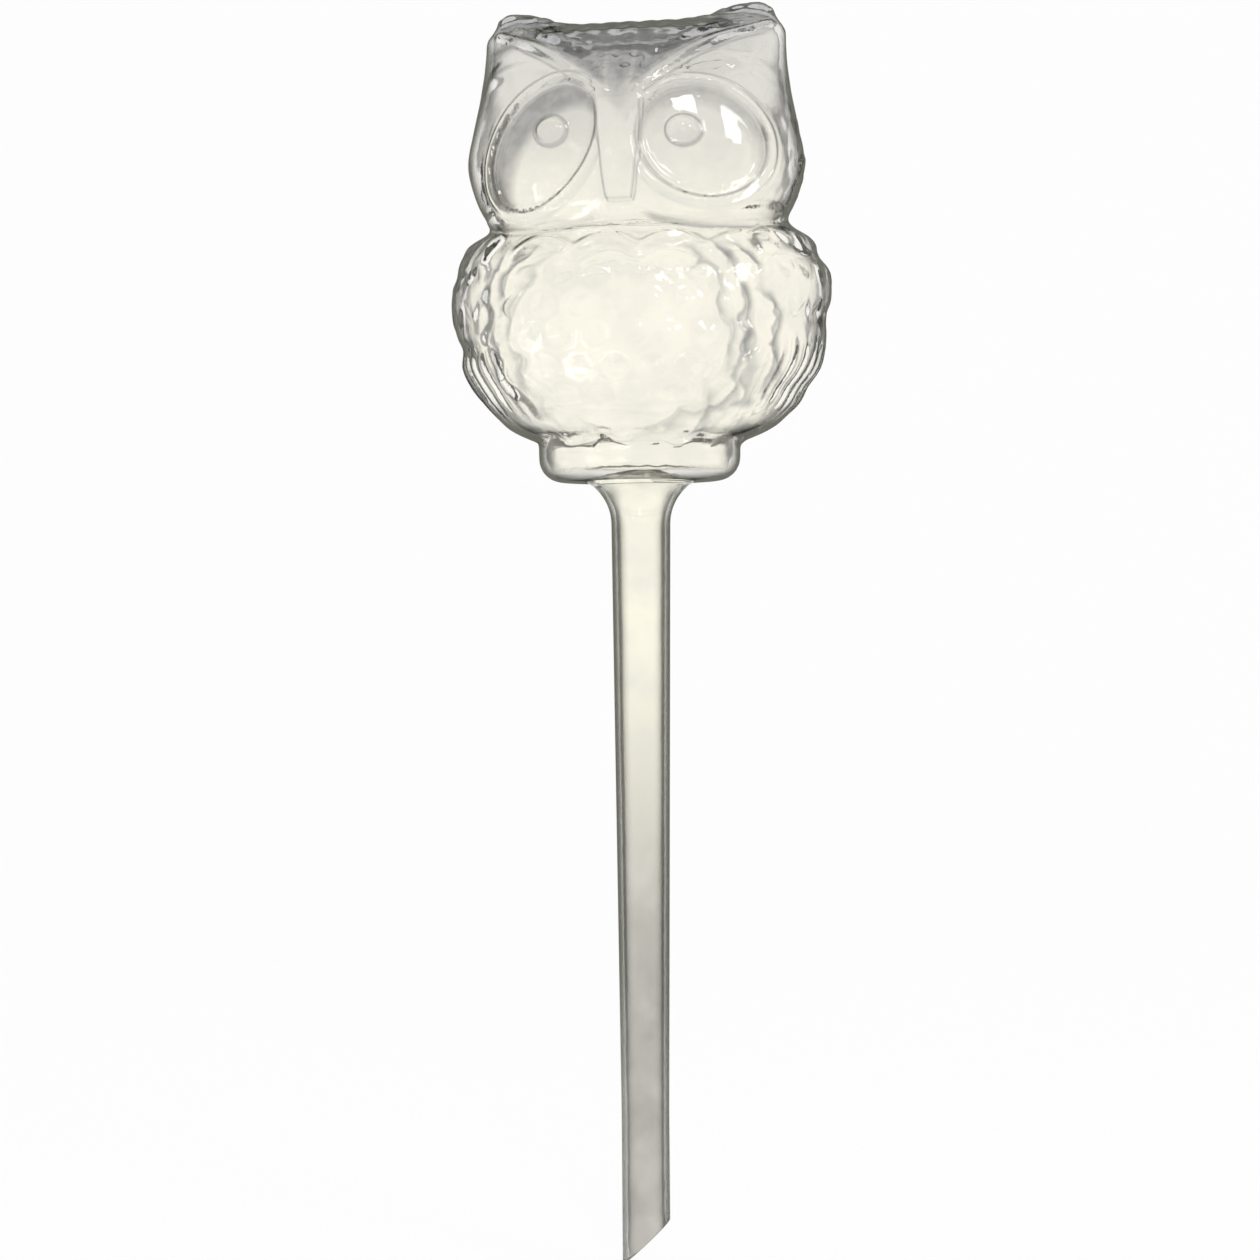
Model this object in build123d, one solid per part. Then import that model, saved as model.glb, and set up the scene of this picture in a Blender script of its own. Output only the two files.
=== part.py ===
from build123d import *
import math
import os

# Owl reservoir, with +Z up, the face towards -Y and z = 0 on the plinth's flat underside
owl_wall = 1.6
floor_thickness = 1.8
parting_y = -1.0

# Plinth under the owl
plinth_width = 45.0
plinth_depth = 35.0
plinth_height = 11.0
plinth_edge_radius = 4.2
plinth_boxiness = 2.0

# Places round the plinth's lower edge, from its foot to its side, as shares of the quarter turn
plinth_edge_shares = (1.0, 0.6, 0.25, 0.0)

# Body, from its foot inside the plinth to its top inside the head
body_width = 83.6
body_depth = 56.4
body_foot_z = 8.0
body_height = 54.0
body_boxiness = 2.2

# Height, width and depth of each body section, as shares of the body's own sizes
body_shares = (
    (0.0, 0.47, 0.50),
    (0.03, 0.58, 0.59),
    (0.07, 0.70, 0.70),
    (0.15, 0.81, 0.82),
    (0.31, 0.935, 0.95),
    (0.50, 0.985, 1.0),
    (0.65, 1.0, 0.98),
    (0.76, 0.96, 0.88),
    (0.84, 0.88, 0.74),
    (0.92, 0.765, 0.60),
    (1.0, 0.61, 0.46),
)

# Head, from the chin to the crown between the ears
head_width = 74.8
head_depth = 50.0
head_foot_z = 53.0
head_height = 47.0
head_boxiness = 2.4

# Height, width and depth of each head section, as shares of the head's own sizes
head_shares = (
    (0.0, 0.70, 0.82),
    (0.06, 0.84, 0.93),
    (0.13, 0.91, 0.98),
    (0.22, 0.96, 1.0),
    (0.36, 1.0, 1.0),
    (0.51, 0.975, 1.0),
    (0.66, 0.93, 0.96),
    (0.78, 0.90, 0.87),
    (0.89, 0.865, 0.70),
    (0.96, 0.78, 0.47),
    (1.0, 0.60, 0.25),
)

# Ears, one at each upper corner of the head
ear_root_x = 20.0
ear_root_z = 80.0
ear_lean = 7.2
ear_height = 24.1
ear_width = 28.0
ear_depth = 28.0
ear_boxiness = 2.1

# Height, lean, width and depth of each ear section, as shares of the ear's own sizes
ear_shares = (
    (0.0, 0.0, 1.0, 1.0),
    (0.50, 0.20, 0.86, 0.70),
    (0.76, 0.38, 0.76, 0.50),
    (0.88, 0.62, 0.53, 0.36),
    (0.955, 0.90, 0.30, 0.22),
    (1.0, 1.0, 0.11, 0.09),
)

# Sunken eyes, each with a raised rim and a domed pupil
eye_x = 17.0
eye_z = 71.8
eye_width = 25.4
eye_height = 25.6
socket_depth = 1.9
rim_width = 1.5
rim_height = 0.9
pupil_x = 14.5
pupil_z = 73.2
pupil_width = 8.2
pupil_rise = 2.2

# Height and radius of each pupil section, as shares of its rise and radius
pupil_shares = ((-1.0, 1.0), (0.0, 1.0), (0.5, 0.87), (0.87, 0.5), (1.0, 0.2))

# Beak, a long blunt ridge between the eyes
beak_top_width = 9.0
beak_tip_width = 5.4
beak_top_z = 86.0
beak_tip_z = 58.4
beak_tip_drop = 1.0
beak_height = 1.8

# Raised brows, each from the bridge of the beak out to the ear
brow_inner_x = 3.0
brow_inner_z = 82.5
brow_middle_x = 16.5
brow_middle_z = 91.5
brow_outer_x = 29.4
brow_outer_z = 98.6
brow_width = 3.2
brow_height = 1.0

# Raised lower edge of each face disc
chin_inner_x = 5.0
chin_inner_z = 58.2
chin_middle_x = 18.5
chin_middle_z = 55.6
chin_outer_x = 31.0
chin_outer_z = 60.6
chin_width = 2.2
chin_height = 0.9

# Tiers of feathers, one over the other, each with a scalloped lower edge
tier_first_z = 42.5
tier_step = 8.5
tier_count = 3
tier_rise = 0.4
tier_pitch = 8.6
tier_drop = 1.8
tier_top_z = 58.0

# Hem of feathers over the plinth
hem_z = 11.6
hem_top_z = 17.0
hem_rise = 0.5
hem_pitch = 6.2
hem_drop = 1.0

# Raised ring of feathers round the smooth breast, scalloped on both sides
breast_z = 32.5
breast_width = 46.0
breast_height = 32.0
breast_count = 16
ring_width = 58.0
ring_height = 42.0
ring_count = 20
ring_rise = 1.6
ring_swell = 1.4

# Long feathers on the lower wings
quill_top_x = 34.0
quill_top_z = 25.5
quill_middle_x = 30.5
quill_middle_z = 18.5
quill_tip_x = 23.5
quill_tip_z = 12.6
quill_width = 2.2
quill_rise = 0.8
quill_step = 4.2
quill_count = 3

# Stem, from its collar under the plinth to the slanted tip
collar_radius = 12.0
collar_height = 9.4
stem_top_radius = 6.55
stem_end_radius = 5.3
stem_wall = 1.2
taper_length = 140.0
stem_length = 173.8
tip_cut_angle = 43.0
tip_cut_turn = 16.0

# Gap round the collar in the hole of the owl's floor
collar_clearance = 0.1

# One overrun for every cut
overrun = 5.0

# The chamber follows every second section of the outside
chamber_step = 2

# Number of flat sides or straight steps that stand for each curve
form_sides = 34
ear_sides = 20
chamber_sides = 20
eye_sides = 26
pupil_sides = 12
band_steps = 7
scallop_steps = 3
flare_steps = 3


def oval_points(width, depth, x, z, boxiness, count):
    """Points round a level oval, which a boxiness over 2 pushes out at its corners"""
    points = []
    for index in range(count):
        angle = math.tau * index / count + math.pi / 2
        along = math.copysign(abs(math.cos(angle)) ** (2 / boxiness), math.cos(angle))
        across = math.copysign(abs(math.sin(angle)) ** (2 / boxiness), math.sin(angle))
        points.append((x + width / 2 * along, parting_y + depth / 2 * across, z))
    return points


def form_sections(shares, width, depth, height, foot_z, inset):
    """Width, depth, place and height of each section of a form drawn in by the inset"""
    return [
        (
            width * width_share - 2 * inset,
            depth * depth_share - 2 * inset,
            0,
            foot_z + inset + (height - 2 * inset) * height_share,
        )
        for height_share, width_share, depth_share in shares
    ]


def body_sections(inset):
    """Sections of the body"""
    return form_sections(body_shares, body_width, body_depth, body_height, body_foot_z, inset)


def head_sections(inset):
    """Sections of the head"""
    return form_sections(head_shares, head_width, head_depth, head_height, head_foot_z, inset)


def ear_sections(side, inset):
    """Width, depth, place and height of each section of an ear"""
    sections = []
    slim_share = 1 - 2 * inset / ear_width
    for height_share, lean_share, width_share, depth_share in ear_shares:
        width = ear_width * width_share * slim_share
        depth = ear_depth * depth_share * slim_share
        x = side * (ear_root_x + ear_lean * lean_share)
        z = ear_root_z + (ear_height - inset) * height_share
        sections.append((width, depth, x, z))
    return sections


def plinth_sections(inset, foot_z):
    """Sections of the plinth, whose lower edge is rounded in three steps"""
    sections = []
    radius = plinth_edge_radius - inset
    for turn_share in plinth_edge_shares:
        turn = turn_share * math.pi / 2
        draw_in = inset + radius * (1 - math.cos(turn))
        z = foot_z + radius * (1 - math.sin(turn))
        sections.append((plinth_width - 2 * draw_in, plinth_depth - 2 * draw_in, 0, z))
    sections.append((plinth_width - 2 * inset, plinth_depth - 2 * inset, 0, plinth_height))
    return sections


def flat_sided(sections, boxiness, sides):
    """Closed form with small flat sides through ovals of a width, depth, place and height"""
    points = []
    for width, depth, x, z in sections:
        points.extend(oval_points(width, depth, x, z, boxiness, sides))
    return ConvexPolyhedron([Vector(*point) for point in points])


def body_form(inset):
    """Outer form of the body, drawn in by the inset"""
    return flat_sided(body_sections(inset), body_boxiness, form_sides)


def head_form(inset):
    """Outer form of the head, drawn in by the inset"""
    return flat_sided(head_sections(inset), head_boxiness, form_sides)


def ear_form(side, inset):
    """Outer form of one ear, drawn in by the inset"""
    return flat_sided(ear_sections(side, inset), ear_boxiness, ear_sides)


def plinth_form():
    """Outer form of the plinth"""
    return flat_sided(plinth_sections(0, 0), plinth_boxiness, form_sides)


def crown_form(inset):
    """Head with both ears, drawn in by the inset"""
    return head_form(inset) + ear_form(-1, inset) + ear_form(1, inset)


def shares_at(shares, height_share):
    """Width and depth shares of a form at one height, between its two nearest sections"""
    for lower, upper in zip(shares, shares[1:]):
        if height_share <= upper[0]:
            break
    blend = (height_share - lower[0]) / (upper[0] - lower[0])
    blend = min(max(blend, 0), 1)
    return [low + blend * (high - low) for low, high in zip(lower[1:], upper[1:])]


def head_front_y(x, z):
    """Depth of the head's front wall at a place in the front view"""
    width_share, depth_share = shares_at(head_shares, (z - head_foot_z) / head_height)
    beside = min(abs(x) / (head_width / 2 * width_share), 1)
    round_share = (1 - beside**head_boxiness) ** (1 / head_boxiness)
    return parting_y - head_depth / 2 * depth_share * round_share


def forward(points):
    """Block over a polygon of the front view, from the parting plane forward"""
    outline = make_face(Polyline(*points, close=True))
    return extrude(Plane.XZ.offset(-parting_y) * outline, body_depth)


def backward(points):
    """Block behind a polygon of the front view, from the parting plane back"""
    outline = make_face(Polyline(*points, close=True))
    return extrude(Plane.XZ.offset(-parting_y) * outline, -body_depth)


def eye_block(side, grow):
    """Block over one eye, grown outward"""
    points = []
    for index in range(eye_sides):
        turn = math.tau * index / eye_sides
        x = side * eye_x + (eye_width / 2 + grow) * math.cos(turn)
        z = eye_z + (eye_height / 2 + grow) * math.sin(turn)
        points.append((x, z))
    return forward(points)


def band(side, inner, middle, outer, width):
    """Block over a curved band through three places of the front view"""
    arc = ThreePointArc(*[(side * x, z) for x, z in (inner, middle, outer)])
    left_edge = [arc @ 0 - (arc % 0) * (width / 2)]
    right_edge = [arc @ 1 + (arc % 1) * (width / 2)]
    for step in range(band_steps + 1):
        share = step / band_steps
        across = (arc % share).rotate(Axis.Z, 90) * (width / 2)
        left_edge.append(arc @ share + across)
        right_edge.append(arc @ (1 - share) - (arc % (1 - share)).rotate(Axis.Z, 90) * (width / 2))
    return forward(left_edge + right_edge)


def brow(side, raised_crown):
    """Raised brow on one side"""
    inner = (brow_inner_x, brow_inner_z)
    middle = (brow_middle_x, brow_middle_z)
    outer = (brow_outer_x, brow_outer_z)
    return band(side, inner, middle, outer, brow_width) & raised_crown


def chin(side, raised_head):
    """Raised lower edge of one face disc"""
    inner = (chin_inner_x, chin_inner_z)
    middle = (chin_middle_x, chin_middle_z)
    outer = (chin_outer_x, chin_outer_z)
    return band(side, inner, middle, outer, chin_width) & raised_head


def rim(side, raised_head):
    """Raised rim round one eye"""
    return (eye_block(side, rim_width) - eye_block(side, 0)) & raised_head


def socket(side):
    """Space of one sunken eye, in front of the head's wall drawn in by its depth"""
    return eye_block(side, 0) - head_form(socket_depth)


def pupil(side):
    """Domed pupil that stands on the floor of one eye"""
    floor_y = head_front_y(pupil_x, pupil_z) + socket_depth
    points = []
    for rise_share, width_share in pupil_shares:
        radius = pupil_width / 2 * width_share
        for index in range(pupil_sides):
            turn = math.tau * index / pupil_sides
            x = side * pupil_x + radius * math.cos(turn)
            z = pupil_z + radius * math.sin(turn)
            points.append(Vector(x, floor_y - pupil_rise * rise_share, z))
    return ConvexPolyhedron(points)


def beak():
    """Beak, a long blunt ridge that is widest at the brows"""
    top = beak_top_width / 2
    tip = beak_tip_width / 2
    blunt_z = beak_tip_z - beak_tip_drop
    points = [(-top, beak_top_z), (top, beak_top_z), (tip, beak_tip_z)]
    points += [(tip / 2, blunt_z), (-tip / 2, blunt_z), (-tip, beak_tip_z)]
    return forward(points) & head_form(-beak_height)


def scalloped_loop(width, height, count):
    """Oval of the front view round the middle of the breast, with scallops that swell outward"""
    points = []
    for index in range(count * scallop_steps):
        turn = math.tau * index / (count * scallop_steps)
        swell = ring_swell * abs(math.sin(count * turn / 2))
        x = (width / 2 + swell) * math.cos(turn)
        z = breast_z + (height / 2 + swell) * math.sin(turn)
        points.append((x, z))
    return points


def breast_ring():
    """Raised ring of feathers round the smooth breast"""
    ring = forward(scalloped_loop(ring_width, ring_height, ring_count))
    ring = ring - forward(scalloped_loop(breast_width, breast_height, breast_count))
    return ring & body_form(-ring_rise)


def scalloped_strip(low_z, high_z, pitch, drop, shift_share):
    """Polygon wider than the body, whose lower edge is a row of scallops"""
    half_count = math.ceil(body_width / 2 / pitch) + 1
    points = []
    for index in range(-half_count * scallop_steps, half_count * scallop_steps + 1):
        along_share = index / scallop_steps
        x = (along_share + shift_share) * pitch
        points.append((x, low_z - drop * abs(math.sin(math.pi * along_share))))
    return points + [(points[-1][0], high_z), (points[0][0], high_z)]


def feather_tiers():
    """Tiers of feathers over the back and both wings, the highest one proudest"""
    half_width = breast_width / 2
    breast = forward(scalloped_loop(breast_width, breast_height, breast_count))
    throat = [(-half_width, breast_z), (half_width, breast_z)]
    throat += [(half_width, tier_top_z + overrun), (-half_width, tier_top_z + overrun)]
    tiers = []
    for index in range(tier_count):
        low_z = tier_first_z - index * tier_step
        outline = scalloped_strip(low_z, tier_top_z, tier_pitch, tier_drop, index / 2)
        raised = body_form(-tier_rise * (tier_count - index))
        front = forward(outline) - breast - forward(throat)
        tiers.append((front + backward(outline)) & raised)
    return tiers


def hem():
    """Hem of feathers round the foot of the body"""
    outline = scalloped_strip(hem_z, hem_top_z, hem_pitch, hem_drop, 0)
    return (forward(outline) + backward(outline)) & body_form(-hem_rise)


def quills():
    """Long feathers that sweep down both lower wings"""
    raised = body_form(-quill_rise)
    feathers = []
    for side in (-1, 1):
        for index in range(quill_count):
            shift = index * quill_step
            top = (quill_top_x - shift, quill_top_z)
            middle = (quill_middle_x - shift, quill_middle_z)
            tip = (quill_tip_x - shift, quill_tip_z)
            feathers.append(band(side, top, middle, tip, quill_width) & raised)
    return feathers


def owl_outside():
    """Outer form of the owl with its face and feathers"""
    raised_head = head_form(-rim_height)
    raised_crown = crown_form(-brow_height)
    form = body_form(0) + crown_form(0) + plinth_form()
    form = form - [socket(-1), socket(1)]
    form = form + beak()
    for side in (-1, 1):
        form = form + rim(side, raised_head)
        form = form + brow(side, raised_crown)
        form = form + chin(side, raised_head)
        form = form + pupil(side)
    for feathers in feather_tiers() + quills():
        form = form + feathers
    form = form + hem()
    return form + breast_ring()


def owl_inside():
    """Water chamber, one wall inside the owl and kept clear of the sunken eyes"""
    head_room = flat_sided(head_sections(owl_wall)[::chamber_step], head_boxiness, chamber_sides)
    backed_head = head_form(socket_depth + owl_wall)
    for side in (-1, 1):
        head_room = head_room - (eye_block(side, owl_wall) - backed_head)
    room = flat_sided(body_sections(owl_wall)[::chamber_step], body_boxiness, chamber_sides) + head_room
    plinth_room = plinth_sections(owl_wall, floor_thickness)
    room = room + flat_sided(plinth_room, plinth_boxiness, chamber_sides)
    for side in (-1, 1):
        room = room + flat_sided(ear_sections(side, owl_wall)[::chamber_step], ear_boxiness, ear_sides)
    return room


def make_owl_reservoir():
    """Clear hollow owl with a round hole in its floor"""
    hole_radius = collar_radius + collar_clearance
    hole = Pos(0, 0, floor_thickness) * Cylinder(
        hole_radius, floor_thickness + overrun, align=(Align.CENTER, Align.CENTER, Align.MAX)
    )
    return owl_outside() - owl_inside() - hole


def stepped(arc):
    """Places along an arc, one after each straight step"""
    return [arc @ (step / flare_steps) for step in range(flare_steps + 1)]


def stem_profile():
    """Half section of the stem, with its flared collar, taper and straight end"""
    bore_top = collar_radius - stem_wall
    end_bore = stem_end_radius - stem_wall
    neck = (stem_top_radius, -collar_height)
    bore_neck = (stem_top_radius - stem_wall, -collar_height)
    slope = (stem_top_radius - stem_end_radius, taper_length - collar_height)
    flare = TangentArc(neck, (collar_radius, 0), tangent=slope)
    bore_flare = TangentArc(bore_neck, (bore_top, 0), tangent=slope)
    end_z = -stem_length - overrun
    outline = [(bore_top, floor_thickness), (collar_radius, floor_thickness)]
    outline += reversed(stepped(flare))
    outline += [(stem_end_radius, -taper_length), (stem_end_radius, end_z)]
    outline += [(end_bore, end_z), (end_bore, -taper_length)]
    outline += stepped(bore_flare)
    return Plane.XZ * make_face(Polyline(*outline, close=True))


def make_watering_stem():
    """Clear hollow stem with a tip cut at a slant"""
    stem = revolve(stem_profile(), Axis.Z)
    slant = math.radians(tip_cut_angle)
    turn = math.radians(tip_cut_turn)
    along = Vector(math.cos(turn), math.sin(turn), 0)
    tip = along * -stem_end_radius - Vector(0, 0, stem_length)
    upward = Vector(0, 0, math.cos(slant)) - along * math.sin(slant)
    return split(stem, bisect_by=Plane(origin=tip, z_dir=upward), keep=Keep.TOP)


os.makedirs("parts", exist_ok=True)
export_step(make_owl_reservoir(), "parts/owl_reservoir.step")
export_step(make_watering_stem(), "parts/watering_stem.step")
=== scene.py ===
"""Clear owl-shaped watering spike: an owl reservoir on a long hollow stem, in a pale studio."""

import math

import bmesh
import bpy
import numpy as np
from bpy.props import FloatProperty, FloatVectorProperty, IntProperty, PointerProperty
from mathutils import Euler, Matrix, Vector


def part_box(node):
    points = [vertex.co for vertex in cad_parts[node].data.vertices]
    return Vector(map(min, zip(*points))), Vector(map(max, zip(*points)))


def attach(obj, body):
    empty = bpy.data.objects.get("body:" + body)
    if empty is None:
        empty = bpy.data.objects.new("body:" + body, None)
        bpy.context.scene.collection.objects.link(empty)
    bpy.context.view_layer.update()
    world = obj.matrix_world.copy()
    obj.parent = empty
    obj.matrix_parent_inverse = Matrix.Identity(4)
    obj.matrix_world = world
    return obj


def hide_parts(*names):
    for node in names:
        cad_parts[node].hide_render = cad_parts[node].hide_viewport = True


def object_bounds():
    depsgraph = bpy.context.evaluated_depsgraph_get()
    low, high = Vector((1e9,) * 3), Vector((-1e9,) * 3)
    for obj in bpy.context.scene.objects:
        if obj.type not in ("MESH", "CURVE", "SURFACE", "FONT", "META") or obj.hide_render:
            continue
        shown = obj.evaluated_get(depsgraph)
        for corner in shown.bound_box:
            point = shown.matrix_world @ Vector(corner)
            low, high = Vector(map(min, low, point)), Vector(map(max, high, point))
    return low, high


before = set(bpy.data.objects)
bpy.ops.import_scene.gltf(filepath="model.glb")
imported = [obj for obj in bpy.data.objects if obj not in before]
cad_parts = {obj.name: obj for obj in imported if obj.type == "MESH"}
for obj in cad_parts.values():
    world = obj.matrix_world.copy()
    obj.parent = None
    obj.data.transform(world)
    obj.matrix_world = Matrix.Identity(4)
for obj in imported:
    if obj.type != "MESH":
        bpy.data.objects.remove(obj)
cad_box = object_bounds()

bl_info = {
    "name": "Owl Watering Spike",
    "version": (1, 0, 0),
    "blender": (4, 5, 0),
    "location": "3D View > Sidebar > Watering Spike",
    "description": "Makes a clear owl-shaped watering spike and its studio",
    "category": "Object",
}

BODY = "root"
OWL_NODE = "owl_reservoir"
STEM_NODE = "watering_stem"

# Height, width and depth of each section, as shares of the form's own sizes
BODY_SHARES = np.array((
    (0.0, 0.445, 0.50), (0.03, 0.55, 0.59), (0.07, 0.67, 0.70), (0.15, 0.775, 0.82),
    (0.31, 0.92, 0.95), (0.50, 0.985, 1.0), (0.65, 1.0, 0.98), (0.76, 0.96, 0.88),
    (0.84, 0.88, 0.74), (0.92, 0.765, 0.60), (1.0, 0.61, 0.46),
))
HEAD_SHARES = np.array((
    (0.0, 0.70, 0.82), (0.06, 0.84, 0.93), (0.13, 0.91, 0.98), (0.22, 0.96, 1.0),
    (0.36, 0.998, 1.0), (0.51, 0.965, 1.0), (0.66, 0.915, 0.96), (0.78, 0.88, 0.87),
    (0.89, 0.85, 0.70), (0.96, 0.78, 0.47), (1.0, 0.60, 0.25),
))

# Height, width, depth and lean of each ear section, as shares of the ear's own sizes
EAR_SHARES = np.array((
    (0.0, 1.0, 1.0, 0.0), (0.50, 0.86, 0.70, 0.20), (0.76, 0.76, 0.50, 0.38),
    (0.88, 0.53, 0.36, 0.62), (0.955, 0.30, 0.22, 0.90), (1.0, 0.11, 0.09, 1.0),
))


def length(name, value, words):
    """A length property in metres"""
    return FloatProperty(name=name, description=words, default=value, unit="LENGTH", precision=5)


def share(name, value, words):
    """A plain number property"""
    return FloatProperty(name=name, description=words, default=value, precision=3)


def angle(name, degrees, words):
    """An angle property, given in degrees"""
    turn = math.radians(degrees)
    return FloatProperty(name=name, description=words, default=turn, subtype="ANGLE")


def number(name, value, words):
    """A whole number property"""
    return IntProperty(name=name, description=words, default=value)


def colour(name, value, words):
    """A linear colour property"""
    return FloatVectorProperty(
        name=name, description=words, default=value, size=3, subtype="COLOR", min=0.0, max=1.0
    )


class OwlSizes(bpy.types.PropertyGroup):
    """Sizes of the owl's body, head, ears and plinth"""

    parting: length("Parting Plane", -0.001, "Depth of the mould's parting plane")
    body_width: length("Body Width", 0.0826, "Width of the body")
    body_depth: length("Body Depth", 0.0564, "Depth of the body")
    body_foot: length("Body Foot", 0.008, "Height of the body's foot")
    body_height: length("Body Height", 0.054, "Height of the body")
    body_boxiness: share("Body Boxiness", 2.2, "How far the body's corners are pushed out")
    body_back: share("Body Back", 0.12, "How much wider the body is behind its middle")
    head_width: length("Head Width", 0.0746, "Width of the head")
    head_depth: length("Head Depth", 0.0500, "Depth of the head")
    head_foot: length("Head Foot", 0.053, "Height of the head's foot")
    head_height: length("Head Height", 0.047, "Height of the head")
    head_boxiness: share("Head Boxiness", 2.4, "How far the head's corners are pushed out")
    head_forward: length("Head Forward", 0.0015, "How far the head sits forward of the body")
    ear_root: length("Ear Root", 0.020, "Distance of each ear's root from the middle")
    ear_foot: length("Ear Foot", 0.080, "Height of each ear's root")
    ear_lean: length("Ear Lean", 0.0067, "How far each ear leans outward")
    ear_height: length("Ear Height", 0.0241, "Height of each ear")
    ear_width: length("Ear Width", 0.028, "Width and depth of each ear's root")
    ear_boxiness: share("Ear Boxiness", 2.1, "How far each ear's corners are pushed out")
    plinth_width: length("Plinth Width", 0.045, "Width of the plinth")
    plinth_depth: length("Plinth Depth", 0.035, "Depth of the plinth")
    plinth_height: length("Plinth Height", 0.011, "Height of the plinth")
    plinth_edge: length("Plinth Edge", 0.0052, "Radius of the plinth's lower edge")
    wall: length("Wall", 0.0016, "Thickness of the clear wall")
    hole: length("Floor Hole", 0.0121, "Radius of the hole in the plinth's floor")
    neck_blend: length("Neck Blend", 0.0016, "Softness of the crease between head and body")
    ear_blend: length("Ear Blend", 0.0030, "Softness of the join between head and ears")
    outer_cell: length("Outer Cell", 0.00072, "Mesh size of the outer skin")
    inner_cell: length("Inner Cell", 0.00120, "Mesh size of the inner skin")
    inner_softness: share("Inner Softness", 1.7, "How much softer the inner skin's relief is")
    inner_relief: share("Inner Relief", 0.35, "Share of the relief that the inner skin keeps")


class FaceSizes(bpy.types.PropertyGroup):
    """Sizes of the eyes, beak, brows and chin"""

    tilt: angle("Tilt", 0.3, "Tilt of the face on the head")
    shift: length("Shift", 0.0010, "How far the face sits off the head's middle")
    eye_x: length("Eye Place", 0.017, "Distance of each eye from the middle")
    eye_z: length("Eye Place Height", 0.0709, "Height of the eyes' middles")
    eye_width: length("Eye Width", 0.0121, "Half the width of each sunken eye")
    eye_height: length("Eye Height", 0.0126, "Half the height of each sunken eye")
    eye_lean: share("Eye Lean", 0.24, "How far each eye leans outward at its foot")
    eye_uneven: share("Eye Unevenness", 0.085, "How much wider one eye is than the other")
    socket: length("Socket Depth", 0.0019, "Depth of each sunken eye")
    rim_width: length("Rim Width", 0.0017, "Width of each eye's rim")
    rim_height: length("Rim Height", 0.0009, "Height of each eye's rim")
    pupil_x: length("Pupil Place", 0.0145, "Distance of each pupil from the middle")
    pupil_z: length("Pupil Place Height", 0.0738, "Height of the pupils' middles")
    pupil_width: length("Pupil Width", 0.0037, "Half the width of each domed pupil")
    pupil_height: length("Pupil Height", 0.0032, "Half the height of each domed pupil")
    pupil_uneven: length("Pupil Unevenness", 0.0006, "How much lower one pupil sits")
    pupil_rise: length("Pupil Rise", 0.0022, "How far each pupil stands out")
    beak_top: length("Beak Top", 0.0052, "Half width of the beak at the brows")
    beak_tip: length("Beak Tip", 0.0026, "Half width of the beak at its tip")
    beak_tip_z: length("Beak Tip Height", 0.0588, "Height of the beak's tip")
    beak_top_z: length("Beak Top Height", 0.0850, "Height where the beak meets the brows")
    beak_rise: length("Beak Rise", 0.0017, "How far the beak stands out")
    brow_width: length("Brow Width", 0.0030, "Width of each brow")
    brow_rise: length("Brow Rise", 0.0010, "How far each brow stands out")
    chin_width: length("Chin Width", 0.0036, "Width of each face disc's lower edge")
    chin_rise: length("Chin Rise", 0.0007, "How far each face disc's lower edge stands out")


class FeatherSizes(bpy.types.PropertyGroup):
    """Sizes of the wings, the garland, the hem and the repeated feathers"""

    wing_rise: length("Wing Rise", 0.0011, "How far the wings stand over the breast")
    ring_rise: length("Ring Rise", 0.0006, "How far the ring round the breast stands out")
    garland_z: length("Garland Height", 0.0478, "Height of the garland under the chin")
    garland_pitch: length("Garland Pitch", 0.0142, "Width of one scallop of the garland")
    garland_drop: length("Garland Drop", 0.0034, "Height of one scallop of the garland")
    garland_rise: length("Garland Rise", 0.0009, "How far the garland stands out")
    hem_z: length("Hem Height", 0.0096, "Height of the hem over the plinth")
    hem_rise: length("Hem Rise", 0.0006, "How far the hem stands out")
    tier_pitch: length("Tier Pitch", 0.0086, "Width of one wing feather")
    tier_step: length("Tier Step", 0.0080, "Height of one tier of feathers")
    tier_depth: length("Tier Depth", 0.0007, "How far each tier stands out")
    quill_pitch: length("Quill Pitch", 0.0058, "Width of one long lower feather")
    quill_depth: length("Quill Depth", 0.0006, "How far each long feather stands out")
    breast_pitch: length("Breast Pitch", 0.0078, "Distance between the breast's soft feathers")
    breast_depth: length("Breast Depth", 0.0011, "How far the breast's feathers stand out")
    crown_pitch: length("Crown Pitch", 0.0042, "Distance between the crown's small feathers")
    crown_depth: length("Crown Depth", 0.0008, "How far the crown's feathers stand out")
    seed: number("Seed", 4, "Seed of the uneven moulding")


class StemSizes(bpy.types.PropertyGroup):
    """Sizes of the hollow stem"""

    plug_height: length("Plug Height", 0.0018, "Height of the collar inside the plinth's floor")
    collar_radius: length("Collar Radius", 0.012, "Radius of the flared collar")
    collar_height: length("Collar Height", 0.0094, "Height of the flare")
    top_radius: length("Top Radius", 0.00655, "Radius under the flare")
    end_radius: length("End Radius", 0.0053, "Radius of the straight lower end")
    wall: length("Wall", 0.0012, "Thickness of the stem's wall")
    taper_length: length("Taper Length", 0.140, "Length down to the end of the taper")
    stem_length: length("Stem Length", 0.1738, "Length down to the tip")
    cut_angle: angle("Cut Angle", 43.0, "Slant of the tip")
    cut_turn: angle("Cut Turn", 5.0, "Turn of the slant")
    rounding: length("Rounding", 0.00022, "Width of the rounding along the stem's sharp edges")
    rows: number("Rows", 90, "Rows along each wall")
    columns: number("Columns", 96, "Columns round the stem")


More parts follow.
